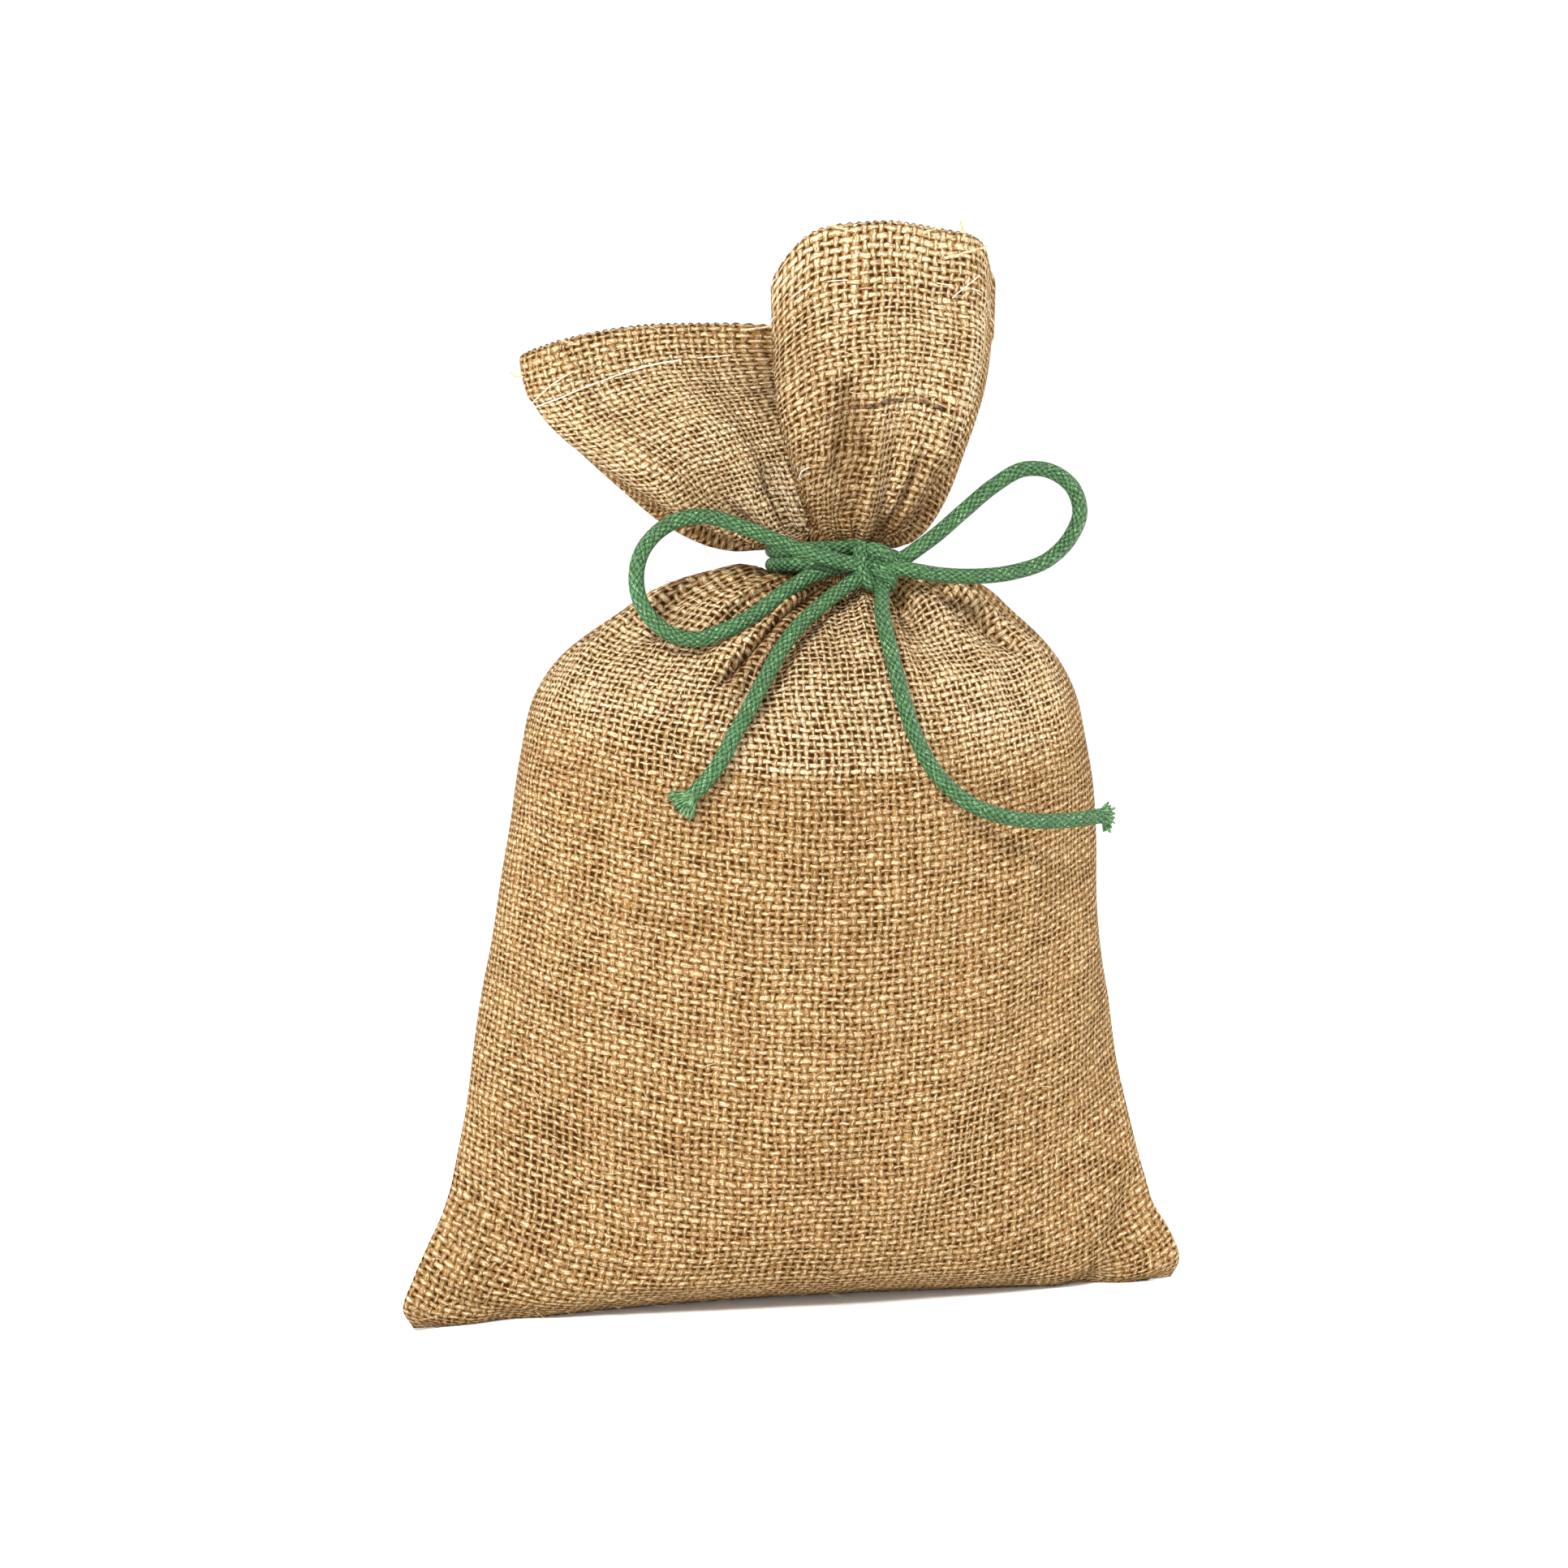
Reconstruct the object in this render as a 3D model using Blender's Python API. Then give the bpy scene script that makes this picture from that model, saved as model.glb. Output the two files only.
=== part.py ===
"""Burlap sack, filled and standing, tied at the neck with a cord bow.

Metres, +Z up, front towards -Y. The tables below are in millimetres. The sack is one
flat tube of burlap, folded at the bottom, and every point of it is worked out from its
place in the cloth: along, the way round the tube from the left side seam, and up, the
height above the bottom fold.
"""

import math

import bmesh
import bpy
import numpy as np
from mathutils import Vector, geometry

MM = 0.001

# The cloth, laid flat
TUBE_ROUND = 400.0  # twice the 200 mm width of the empty sack
CLOTH_HEIGHT = 304.0  # bottom fold to mouth, with the hem turned in
CLOTH_WALL = 1.6  # one layer of coarse burlap
HEM_WALL = 2.6  # the turned hem, two layers
HEM_HEIGHT = 16.0

# The filled body, a row for each level of the cloth. The seams are the two side folds.
BODY_COLUMNS = (
    "up", "front_z", "back_z", "seam_z", "middle_x", "half_width",
    "front_depth", "back_depth", "fold_y", "seam_y", "lens", "flat_share",
)
BODY = (
    (0, 0.0, 0.0, 1.0, -1.2, 98.5, 0.0, 0.0, 3.0, -17.0, 2.6, 0.86),
    (6, 0.0, 0.0, 5.5, -1.2, 101.0, 6.5, 6.5, 3.0, -16.5, 2.3, 0.80),
    (13, 1.4, 0.0, 12.0, -0.8, 98.8, 14.0, 13.5, 3.0, -15.0, 2.0, 0.70),
    (22, 4.8, 0.0, 20.0, -0.4, 94.3, 22.5, 21.5, 2.5, -11.0, 1.8, 0.56),
    (28, 8.0, 0.4, 25.5, 0.3, 92.0, 27.5, 27.0, 2.0, -10.0, 1.7, 0.45),
    (34, 13.0, 3.2, 31.0, 0.8, 90.0, 31.5, 32.5, 1.5, -8.5, 1.62, 0.36),
    (48, 26.5, 15.0, 44.0, 1.0, 86.8, 37.5, 39.5, 0.5, -5.5, 1.6, 0.20),
    (64, 42.5, 31.0, 59.0, 0.8, 83.4, 42.0, 43.5, 0.0, -3.0, 1.7, 0.10),
    (82, 60.5, 50.0, 76.0, 1.6, 80.7, 44.5, 45.5, 0.0, -1.0, 1.82, 0.0),
    (102, 80.5, 71.0, 95.0, 2.4, 78.0, 45.0, 45.5, 0.0, 0.0, 1.92, 0.0),
    (124, 102.5, 94.5, 116.5, 3.2, 75.0, 45.0, 45.0, 0.0, 0.0, 2.0, 0.0),
    (146, 125.0, 118.0, 137.5, 3.8, 72.4, 44.0, 43.5, 0.0, 0.0, 2.05, 0.0),
    (164, 143.0, 137.0, 153.5, 4.2, 67.9, 41.5, 40.5, 0.0, 0.0, 2.05, 0.0),
    (178, 156.5, 151.5, 164.0, 4.8, 60.8, 37.0, 36.0, 0.0, 0.0, 2.0, 0.0),
    (190, 166.5, 163.0, 171.5, 6.0, 50.5, 31.0, 30.0, 0.0, 0.0, 2.0, 0.0),
    (200, 173.5, 173.5, 178.0, 8.0, 39.5, 25.5, 26.0, 0.0, 0.0, 2.0, 0.0),
    (207, 177.0, 179.3, 181.4, 9.8, 28.5, 20.0, 22.5, 0.0, 0.0, 2.0, 0.0),
    (211, 178.6, 181.6, 182.8, 10.5, 21.0, 16.4, 19.6, 0.0, 0.0, 2.0, 0.0),
    (213, 179.4, 180.6, 180.9, 10.7, 17.2, 14.8, 16.4, 0.0, 0.0, 2.0, 0.0),
    (215, 180.9, 180.9, 180.9, 10.7, 13.0, 12.5, 12.5, 0.0, 0.0, 2.0, 0.0),
    (221, 189.4, 189.4, 189.4, 10.7, 13.0, 12.5, 12.5, 0.0, 0.0, 2.0, 0.0),
)
NECK_TOP = 221.0
EAR_SKEW = 0.3  # the left ear reaches forward by this much more, the right one by less

# The open head above the tie, a row for each fold of the mouth, going round from the
# left side seam: front first, then back. "mid" is halfway up from the tie.
HEAD_MID = 261.0
HEAD_COLUMNS = ("along", "mid_x", "mid_y", "mid_z", "mouth_x", "mouth_y", "mouth_z")
HEAD = (
    (0, -43, 0, 203.5, -68.5, 0, 234.5),
    (9, -38, -7, 204.5, -64, -5, 236.5),
    (34, -23, -10, 211, -42, -6, 241.5),
    (60, -7, -10, 215, -17, -5, 242.5),
    (76, 5, -5, 216, 4, -2, 243),
    (90, -7, -16, 214, -9, -15, 253),
    (99, -1, -23, 218, -4, -23, 262),
    (116, 14, -24, 222, 13, -28, 266.5),
    (134, 29, -21, 222, 31, -23, 265.5),
    (148, 40, -13, 219, 45, -11, 263.5),
    (162, 44, -2, 215, 52, 1, 257),
    (178, 44, 9, 212, 54, 13, 251),
    (200, 40, 20, 211, 51, 29, 246),
    (226, 29, 27, 212, 37, 43, 247),
    (252, 13, 28, 212, 16, 44, 246),
    (276, 0, 22, 210, 3, 33, 242),
    (296, -6, 13, 209, -2, 19, 239),
    (318, -15, 12, 208, -19, 14, 240),
    (344, -25, 13, 206, -38, 15, 239),
    (372, -34, 10, 204.5, -55, 12, 237),
    (391, -41, 6, 203.5, -65, 5.5, 235),
)
FLARE = 1.45  # how squarely the head turns outwards above the tie
FLARE_LIFT = 0.0
HEAD_SWELL = 1.3  # how far the head bellies out between its middle and the mouth
RIM_LEAN = 0.08  # how much of its outward lean a thread keeps at the mouth
RIM_RISE = 1.4

# Gathers at the tie, and the creases placed by hand: a soft trough from one place in the
# cloth to another, or a ridge where depth is below zero.
GATHERS = 13
GATHER_COLUMNS = ("up", "depth")
GATHER = (
    (150, 0.0), (178, 0.7), (196, 2.0), (208, 1.6), (214, 0.4), (222, 0.4), (230, 1.6),
    (246, 1.4), (270, 0.5), (304, 0.3),
)
CREASE_COLUMNS = ("along_from", "up_from", "along_to", "up_to", "width", "depth")
CREASES = (
    (86, 206, 70, 172, 5.6, 5.6),
    (60, 202, 36, 178, 7.0, 2.4),
    (128, 204, 146, 180, 6.5, 3.0),
    (150, 202, 168, 184, 6.0, 2.2),
    (112, 226, 104, 252, 6.0, 2.4),
    (62, 228, 52, 250, 7.0, 2.4),
    (230, 206, 216, 172, 6.0, 4.0),
    (292, 206, 306, 170, 6.0, 4.5),
    (342, 204, 356, 176, 6.0, 3.0),
    (250, 228, 246, 268, 7.0, 3.0),
    (8, 40, 30, 10, 7.0, 2.0),
    (192, 30, 172, 8, 6.0, 3.0),
)

# Grid of the sack's mesh
POINTS_ROUND = 84
BODY_LEVELS = (
    0, 3, 6, 9.5, 13, 17.5, 22, 25, 28, 31, 34, 41, 48, 56, 64, 73, 82, 92, 102, 113, 124,
    135, 146, 155, 164, 171, 178, 184, 190, 195, 200, 203.5, 207, 210, 212, 213.5, 215, 218,
)
HEAD_STEPS = 17
POCKET_FLOOR = 256.0
POCKET_STEPS = 7
FLOOR_SNAP = 0.35  # anything this near the surface lies on it

# The tie, one cord: two turns round the neck, a knot in front, two loops, two tails
CORD = 3.8
PIECE_GAP = 0.3
NECK_CENTRE = (10.7, 0.0, 184.9)
NECK_RADII = (13.0, 12.5)
TURN_PITCH = 3.6  # the two turns bed into each other a little
WRAP_POINTS = 40
WRAP_SIDES = 9  # points over the outside of each turn
ROOT_POINTS = 5
TUBE_SIDES_LEVEL = 2  # bevel resolution, eight sides
POINT_SPACING = 2.0  # cord diameters between the points of a tube
STRAND_SIDES = 8

# Routes of the cord's free stretches, from the knot outwards
ROUTES = {
    "loop_left": (
        (6.7, -24, 185.2), (-1.1, -24, 187.1), (-9.7, -21.8, 190.5), (-18.3, -19.8, 194.1),
        (-27.2, -18.8, 196.3), (-33.3, -19, 195.4), (-38.4, -19.6, 192.5),
        (-42.5, -20.8, 187.8), (-44.3, -22.6, 182), (-43.7, -24.4, 176.2), (-41, -25.8, 171.6),
        (-36.6, -26.8, 168.1), (-30.5, -27.2, 166.9), (-23, -26.8, 169.1), (-15.1, -25, 173),
        (-6.8, -22.6, 178.4), (-0.7, -20.8, 181.6), (3.2, -20.2, 183),
    ),
    "loop_right": (
        (24.5, -22, 187), (30.3, -22, 191), (38.3, -21.6, 197.5), (46.1, -21.2, 203.6),
        (53.9, -20.8, 207.6), (61.6, -20.6, 206.8), (66.9, -20.6, 202.6), (68.4, -21, 196.8),
        (66, -21.6, 191.2), (59.9, -22.4, 185.4), (50.4, -23.2, 182.3), (40.1, -24, 181.4),
        (30.7, -24.4, 181.9), (24.2, -24.5, 183),
    ),
    "tail_left": (
        (7.6, -24.5, 179.3), (2.3, -26, 175.9), (-1.9, -28, 173), (-8.6, -32, 167.4),
        (-15, -35.8, 158.8), (-20.6, -39, 150.2), (-24.9, -41.1, 143.9), (-28.3, -41.6, 137.9),
        (-31, -41.3, 134.3), (-34.6, -41.0, 130.6),
    ),
    "tail_right": (
        (16.4, -25.2, 177.1), (14.8, -31.6, 171.9), (15.1, -35.8, 166), (16.3, -39.4, 157.7),
        (18.7, -42.5, 147.1), (20.8, -43.8, 141.3), (23.6, -44.8, 136.2), (27.3, -45.6, 131.6),
        (32.5, -46.2, 127.5), (39.4, -46, 124.6), (48.6, -44.5, 122.8), (58.7, -42, 122.4),
        (68.4, -39, 123),
    ),
}

# The knot, in a frame of its own: to the right, towards the front, up. The frame is
# turned a little to the left about the sack's height.
KNOT_CENTRE = (15.9, -20.6, 183.8)
KNOT_TURN = math.radians(-14.0)
KNOT_CORE = (4.2, 4.8, 4.0)
KNOT_CORE_BACK = 0.96  # how far the core's middle lies behind the knot's
KNOT_STRANDS = {
    "front_band": (
        (-1.6, -1.8, 3.2), (-2.9, 0.8, 4.4), (-3.7, 3.2, 2.2), (-3.4, 4.0, -0.8),
        (-2.0, 3.6, -3.2), (-0.6, 2.2, -4.4), (0.2, 0.4, -3.8),
    ),
    "crown": (
        (-3.0, -0.6, 3.0), (-0.6, 1.8, 4.2), (2.4, 2.6, 3.2), (4.1, 0.8, 0.8),
        (3.4, -1.4, -1.2),
    ),
    "curl": (
        (-0.4, 1.6, 0.0), (1.6, 3.4, -1.2), (3.6, 2.8, -2.8), (3.4, 1.2, -4.2),
        (1.8, 0.2, -3.6),
    ),
}
KNOT_STRAND_POINTS = 12

# Where the cord's free stretches start inside the knot, in the same frame
KNOT_ROOTS = {
    "loop_left": ((-1.0, 1.5, 0.8), (-1.5, -1.5, -0.4)),
    "loop_right": ((1.5, -0.5, 0.8), (1.0, 1.8, -0.2)),
    "tail_left": ((-0.8, 1.2, -1.6), None),
    "tail_right": ((0.4, 1.8, -2.2), None),
}

# The frayed ends, a fan of thick yarns from a collar at the end of each tail. The angles
# are in degrees from the tail's own line, towards one side of the fan and the other.
TUFT_SIDES = 6
TUFT_COLLAR = 1.2
TUFT_FOOT = 1.1  # how far the outer yarns start from the tail's middle
TUFT_LAYER = 0.45  # every other yarn lies this much in front, the rest behind
TUFT_YARN = 0.95  # radius of a yarn
TUFT_TIP = 0.55
TUFT_COLUMNS = ("name", "tail", "yarns", "length", "open_from", "open_to", "curl")
TUFTS = (
    ("tuft_left", "tail_left", 8, 6.2, -46, 34, 6),
    ("tuft_right", "tail_right", 7, 3.5, -72, 22, 14),
)

BURLAP_COLOUR = (0.55, 0.37, 0.18, 1.0)
CORD_COLOUR = (0.07, 0.24, 0.10, 1.0)


def clear_scene():
    for obj in list(bpy.data.objects):
        bpy.data.objects.remove(obj, do_unlink=True)


def make_material(name, colour, roughness):
    material = bpy.data.materials.new(name)
    material.use_nodes = True
    shader = material.node_tree.nodes["Principled BSDF"]
    shader.inputs["Base Color"].default_value = colour
    shader.inputs["Roughness"].default_value = roughness
    shader.inputs["Metallic"].default_value = 0.0
    return material


def smooth_through(knots, values, at, period=None):
    """A smooth curve through the values at the knots, read at each place in at."""
    knots = np.asarray(knots, float)
    values = np.asarray(values, float)
    at = np.asarray(at, float)
    if period:
        at = np.mod(at, period)
        knots = np.concatenate([knots[-2:] - period, knots, knots[:2] + period])
        values = np.concatenate([values[-2:], values, values[:2]])
    flat = values.reshape(len(knots), -1)
    slopes = np.gradient(flat, knots, axis=0)
    span = np.clip(np.searchsorted(knots, at, side="right") - 1, 0, len(knots) - 2)
    width = (knots[span + 1] - knots[span])[:, None]
    t = np.clip((at - knots[span])[:, None] / width, 0.0, 1.0)
    found = (
        flat[span] * (2 * t**3 - 3 * t**2 + 1)
        + slopes[span] * width * (t**3 - 2 * t**2 + t)
        + flat[span + 1] * (3 * t**2 - 2 * t**3)
        + slopes[span + 1] * width * (t**3 - t**2)
    )
    return found.reshape((len(at),) + values.shape[1:])


def body_row(up):
    """The named columns of the body's table at one level."""
    table = np.array(BODY, float)
    row = smooth_through(table[:, 0], table[:, 1:], [up])[0]
    return dict(zip(BODY_COLUMNS[1:], row))


def half_section(row, depth, middle_z, shares):
    """One face of the sack at a level, its points at equal shares of the cloth's width."""
    turn = np.linspace(0.0, math.pi, 181)
    power = 2.0 / row["lens"]
    across = -np.sign(np.cos(turn)) * np.abs(np.cos(turn)) ** power
    bulge = np.abs(np.sin(turn)) ** power
    seam = row["seam_y"] * (1.0 - EAR_SKEW * across)
    seam_line = row["fold_y"] + (seam - row["fold_y"]) * across**2
    flat = min(max(row["flat_share"], 0.0), 0.95)
    rise = np.clip((np.abs(across) - flat) / (1.0 - flat), 0.0, 1.0) ** 2
    points = np.stack([
        row["middle_x"] + row["half_width"] * across,
        seam_line + depth * bulge,
        middle_z + (row["seam_z"] - middle_z) * rise,
    ], axis=1)
    steps = np.linalg.norm(np.diff(points, axis=0), axis=1)
    run = np.concatenate([[0.0], np.cumsum(steps)])
    return np.stack([np.interp(shares * run[-1], run, points[:, k]) for k in range(3)], 1)


def body_ring(up, alongs):
    row = body_row(up)
    half = TUBE_ROUND / 2
    front = alongs <= half
    ring = np.empty((len(alongs), 3))
    ring[front] = half_section(row, -row["front_depth"], row["front_z"], alongs[front] / half)
    back = (TUBE_ROUND - alongs[~front]) / half
    ring[~front] = half_section(row, row["back_depth"], row["back_z"], back)
    return ring


def head_ring(up, alongs, neck):
    """A level of the open head: each thread leaves the tie outwards and rises to the mouth."""
    table = np.array(HEAD, float)
    mid = smooth_through(table[:, 0], table[:, 1:4], alongs, TUBE_ROUND)
    mouth = smooth_through(table[:, 0], table[:, 4:7], alongs, TUBE_ROUND)
    leave = FLARE * (mid - neck) * np.array([1.0, 1.0, FLARE_LIFT])
    lower = HEAD_MID - NECK_TOP
    upper = CLOTH_HEIGHT - HEAD_MID
    through = ((mid - neck) / lower + (mouth - mid) / upper) / 2
    if up <= HEAD_MID:
        t = (up - NECK_TOP) / lower
        start, end, out, on = neck, mid, leave, through * lower
    else:
        t = (up - HEAD_MID) / upper
        rim = (mouth - mid) * np.array([RIM_LEAN, RIM_LEAN, RIM_RISE])
        start, end, out, on = mid, mouth, through * upper * HEAD_SWELL, rim
    return (
        start * (2 * t**3 - 3 * t**2 + 1)
        + out * (t**3 - 2 * t**2 + t)
        + end * (3 * t**2 - 2 * t**3)
        + on * (t**3 - t**2)
    )


def cloth_levels(ups, alongs):
    neck = body_ring(NECK_TOP, alongs)
    rings = [
        body_ring(up, alongs) if up <= NECK_TOP else head_ring(up, alongs, neck)
        for up in ups
    ]
    return np.array(rings)


def crease_depth(ups, alongs):
    """How far the gathers and creases draw the cloth in, at each place of the grid."""
    up, along = np.meshgrid(ups, alongs, indexing="ij")
    turn = 2 * math.pi * along / TUBE_ROUND
    table = np.array(GATHER, float)
    depth = np.interp(ups, table[:, 0], table[:, 1])[:, None]
    uneven = 0.7 + 0.3 * np.sin(3 * turn + 0.8)
    drawn = depth * uneven * np.cos(GATHERS * turn + 1.1 * np.sin(2 * turn + 0.5))
    for row in CREASES:
        crease = dict(zip(CREASE_COLUMNS, row))
        run_along = crease["along_to"] - crease["along_from"]
        run_up = crease["up_to"] - crease["up_from"]
        length = math.hypot(run_along, run_up)
        from_along = along - crease["along_from"]
        from_up = up - crease["up_from"]
        on = (from_along * run_along + from_up * run_up) / length**2
        off = (from_along * run_up - from_up * run_along) / length
        ends = np.clip((0.5 - np.abs(on - 0.5)) / 0.25 + 0.6, 0.0, 1.0)
        ends = ends * ends * (3 - 2 * ends)
        drawn = drawn + crease["depth"] * np.exp(-((off / crease["width"]) ** 2)) * ends
    return drawn


def outward(grid):
    """Unit normals of the grid, pointing out of the sack."""
    around = np.roll(grid, -1, axis=1) - np.roll(grid, 1, axis=1)
    upward = np.gradient(grid, axis=0)
    normal = np.cross(around, upward)
    return normal / np.maximum(np.linalg.norm(normal, axis=2, keepdims=True), 1e-9)


def outer_cloth(ups, alongs):
    grid = cloth_levels(ups, alongs)
    drawn = crease_depth(ups, alongs)
    grid = grid - outward(grid) * drawn[:, :, None]
    low = np.asarray(ups) < NECK_TOP
    grid[low, :, 2] = np.where(grid[low, :, 2] < FLOOR_SNAP, 0.0, grid[low, :, 2])
    return grid


def inner_cloth(ups, alongs):
    """The pocket's wall, one layer in from the outside, and two at the hem."""
    grid = cloth_levels(ups, alongs)
    hem = np.clip((np.asarray(ups) - CLOTH_HEIGHT + HEM_HEIGHT) / 4.0, 0.0, 1.0)
    wall = CLOTH_WALL + (HEM_WALL - CLOTH_WALL) * hem
    drawn = np.maximum(crease_depth(ups, alongs), 0.0) + wall[:, None]
    return grid - outward(grid) * drawn[:, :, None]


def build_sack(material):
    alongs = np.arange(POINTS_ROUND) * TUBE_ROUND / POINTS_ROUND
    head_ups = np.linspace(NECK_TOP, CLOTH_HEIGHT, HEAD_STEPS + 1)
    outer = outer_cloth(np.concatenate([BODY_LEVELS, head_ups]), alongs)
    pocket_ups = np.linspace(POCKET_FLOOR, CLOTH_HEIGHT, POCKET_STEPS + 1)
    inner = inner_cloth(pocket_ups, alongs)[::-1]

    mesh = bmesh.new()
    half = POINTS_ROUND // 2
    fold = [mesh.verts.new(outer[0, j] * MM) for j in range(half + 1)]
    rings = [[fold[min(j, POINTS_ROUND - j)] for j in range(POINTS_ROUND)]]
    for ring in np.concatenate([outer[1:], inner]):
        rings.append([mesh.verts.new(point * MM) for point in ring])
    for low, high in zip(rings, rings[1:]):
        for j in range(POINTS_ROUND):
            k = (j + 1) % POINTS_ROUND
            mesh.faces.new((low[j], low[k], high[k], high[j]))
    pocket_floor = rings[-1]
    plan = [Vector((vert.co.x, vert.co.y)) for vert in pocket_floor]
    for a, b, c in geometry.tessellate_polygon([plan]):
        if (plan[b] - plan[a]).cross(plan[c] - plan[a]) < 0.0:
            b, c = c, b
        mesh.faces.new((pocket_floor[a], pocket_floor[b], pocket_floor[c]))
    return finish_mesh("sack", mesh, material)


def finish_mesh(name, mesh, material):
    data = bpy.data.meshes.new(name)
    mesh.to_mesh(data)
    mesh.free()
    data.shade_smooth()
    data.materials.append(material)
    obj = bpy.data.objects.new(name, data)
    bpy.context.scene.collection.objects.link(obj)
    return obj


def tube_points(route):
    """Points along a smooth curve through the route, evenly spaced in cord diameters."""
    route = np.array(route, float)
    knots = np.concatenate([[0.0], np.cumsum(np.linalg.norm(np.diff(route, axis=0), axis=1))])
    fine = smooth_through(knots, route, np.linspace(0.0, knots[-1], 400))
    run = np.concatenate([[0.0], np.cumsum(np.linalg.norm(np.diff(fine, axis=0), axis=1))])
    count = max(3, round(run[-1] / (POINT_SPACING * CORD)) + 1)
    at = np.linspace(0.0, run[-1], count)
    return np.stack([np.interp(at, run, fine[:, k]) for k in range(3)], axis=1)


def build_tube(name, route, material):
    points = tube_points(route)
    data = bpy.data.curves.new(name, "CURVE")
    data.dimensions = "3D"
    data.bevel_depth = CORD / 2 * MM
    data.bevel_resolution = TUBE_SIDES_LEVEL
    data.use_fill_caps = True
    spline = data.splines.new("POLY")
    spline.points.add(len(points) - 1)
    for place, point in zip(spline.points, points * MM):
        place.co = (*point, 1.0)
    data.materials.append(material)
    obj = bpy.data.objects.new(name, data)
    bpy.context.scene.collection.objects.link(obj)
    return obj


def unit(vector):
    return vector / np.linalg.norm(vector)


def rings_along(path, radii, sides, end_way=None):
    """Rings of a tube along the path, carried along it without twisting."""
    path = np.asarray(path, float)
    ways = np.gradient(path, axis=0)
    if end_way is not None:
        ways[-1] = end_way
    side = np.cross(ways[0], (0.31, 0.17, 0.94))
    turn = np.arange(sides) * 2 * math.pi / sides
    rings = []
    for point, way, radius in zip(path, ways, np.broadcast_to(radii, len(path))):
        way = unit(way)
        side = unit(side - way * np.dot(side, way))
        other = np.cross(way, side)
        circle = np.outer(np.cos(turn), side) + np.outer(np.sin(turn), other)
        rings.append(point + radius * circle)
    return np.array(rings)


def mesh_from_rings(rings, closed):
    """A closed skin over the rings, with an end cap at each end of an open run."""
    mesh = bmesh.new()
    rows = [[mesh.verts.new(point * MM) for point in ring] for ring in rings]
    pairs = list(zip(rows, rows[1:]))
    if closed:
        pairs.append((rows[-1], rows[0]))
    else:
        mesh.faces.new(rows[0][::-1])
        mesh.faces.new(rows[-1])
    for low, high in pairs:
        for j in range(len(low)):
            k = (j + 1) % len(low)
            mesh.faces.new((low[j], low[k], high[k], high[j]))
    bmesh.ops.recalc_face_normals(mesh, faces=mesh.faces)
    return mesh


def fuse(target, helpers):
    """Joins hidden helper shapes to the target, so that it is one solid."""
    for helper in helpers:
        helper.hide_render = True
        helper.display_type = "WIRE"
        join = target.modifiers.new("join_" + helper.name, "BOOLEAN")
        join.operation = "UNION"
        join.solver = "EXACT"
        join.use_self = True
        join.object = helper


def wrap_rings():
    """The two turns round the neck, one above the other, as one ribbed band."""
    radius = CORD / 2
    reach = math.asin(TURN_PITCH / CORD)
    arc = np.linspace(-reach, math.pi + reach, WRAP_SIDES)
    upper = np.stack([radius * np.cos(arc), TURN_PITCH / 2 + radius * np.sin(arc)], axis=1)
    lower = -upper[1:-1]
    profile = np.concatenate([upper, lower])
    centre = np.array(NECK_CENTRE)
    rings = []
    for turn in np.arange(WRAP_POINTS) * 2 * math.pi / WRAP_POINTS:
        reach_x, reach_y = (neck + PIECE_GAP + radius for neck in NECK_RADII)
        out = unit(np.array([math.cos(turn) / reach_x, math.sin(turn) / reach_y, 0.0]))
        middle = centre + np.array([reach_x * math.cos(turn), reach_y * math.sin(turn), 0.0])
        rings.append([middle + out * x + np.array([0.0, 0.0, z]) for x, z in profile])
    return np.array(rings)


def from_knot(places):
    """Places in the knot's own frame, in the sack's."""
    right = np.array([math.cos(KNOT_TURN), math.sin(KNOT_TURN), 0.0])
    front = np.array([math.sin(KNOT_TURN), -math.cos(KNOT_TURN), 0.0])
    frame = np.array([right, front, (0.0, 0.0, 1.0)])
    return np.array(KNOT_CENTRE) + np.asarray(places, float) @ frame


def knot_core():
    mesh = bmesh.new()
    bmesh.ops.create_icosphere(mesh, subdivisions=2, radius=1.0)
    back = Vector((0.0, KNOT_CORE_BACK, 0.0))
    for vert in mesh.verts:
        vert.co = Vector(from_knot(vert.co * Vector(KNOT_CORE) - back) * MM)
    mesh.normal_update()
    bmesh.ops.recalc_face_normals(mesh, faces=mesh.faces)
    return mesh


def strand_rings(route):
    route = from_knot(route)
    knots = np.arange(len(route))
    path = smooth_through(knots, route, np.linspace(0, knots[-1], KNOT_STRAND_POINTS))
    return rings_along(path, CORD / 2, STRAND_SIDES)


def root_rings(inside, points):
    """A short length of cord from inside the knot to just short of a tube's first face."""
    start = from_knot(inside)
    way = unit(points[0] - points[1])
    gate = points[0] + way * PIECE_GAP
    reach = np.linalg.norm(gate - start) / 2
    t = np.linspace(0.0, 1.0, ROOT_POINTS)[:, None]
    control = gate + way * reach
    path = start * (1 - t) ** 2 + control * 2 * t * (1 - t) + gate * t**2
    return rings_along(path, CORD / 2, STRAND_SIDES, end_way=-way)


def build_tie_knot(material):
    wrap = finish_mesh("tie_knot", mesh_from_rings(wrap_rings(), True), material)
    helpers = [finish_mesh("knot_core", knot_core(), material)]
    for name, route in KNOT_STRANDS.items():
        mesh = mesh_from_rings(strand_rings(route), False)
        helpers.append(finish_mesh(f"knot_{name}", mesh, material))
    for name, (near, far) in KNOT_ROOTS.items():
        points = tube_points(ROUTES[name])
        mesh = mesh_from_rings(root_rings(near, points), False)
        helpers.append(finish_mesh(f"root_{name}", mesh, material))
        if far:
            mesh = mesh_from_rings(root_rings(far, points[::-1]), False)
            helpers.append(finish_mesh(f"root_{name}_back", mesh, material))
    fuse(wrap, helpers)
    return wrap


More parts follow.
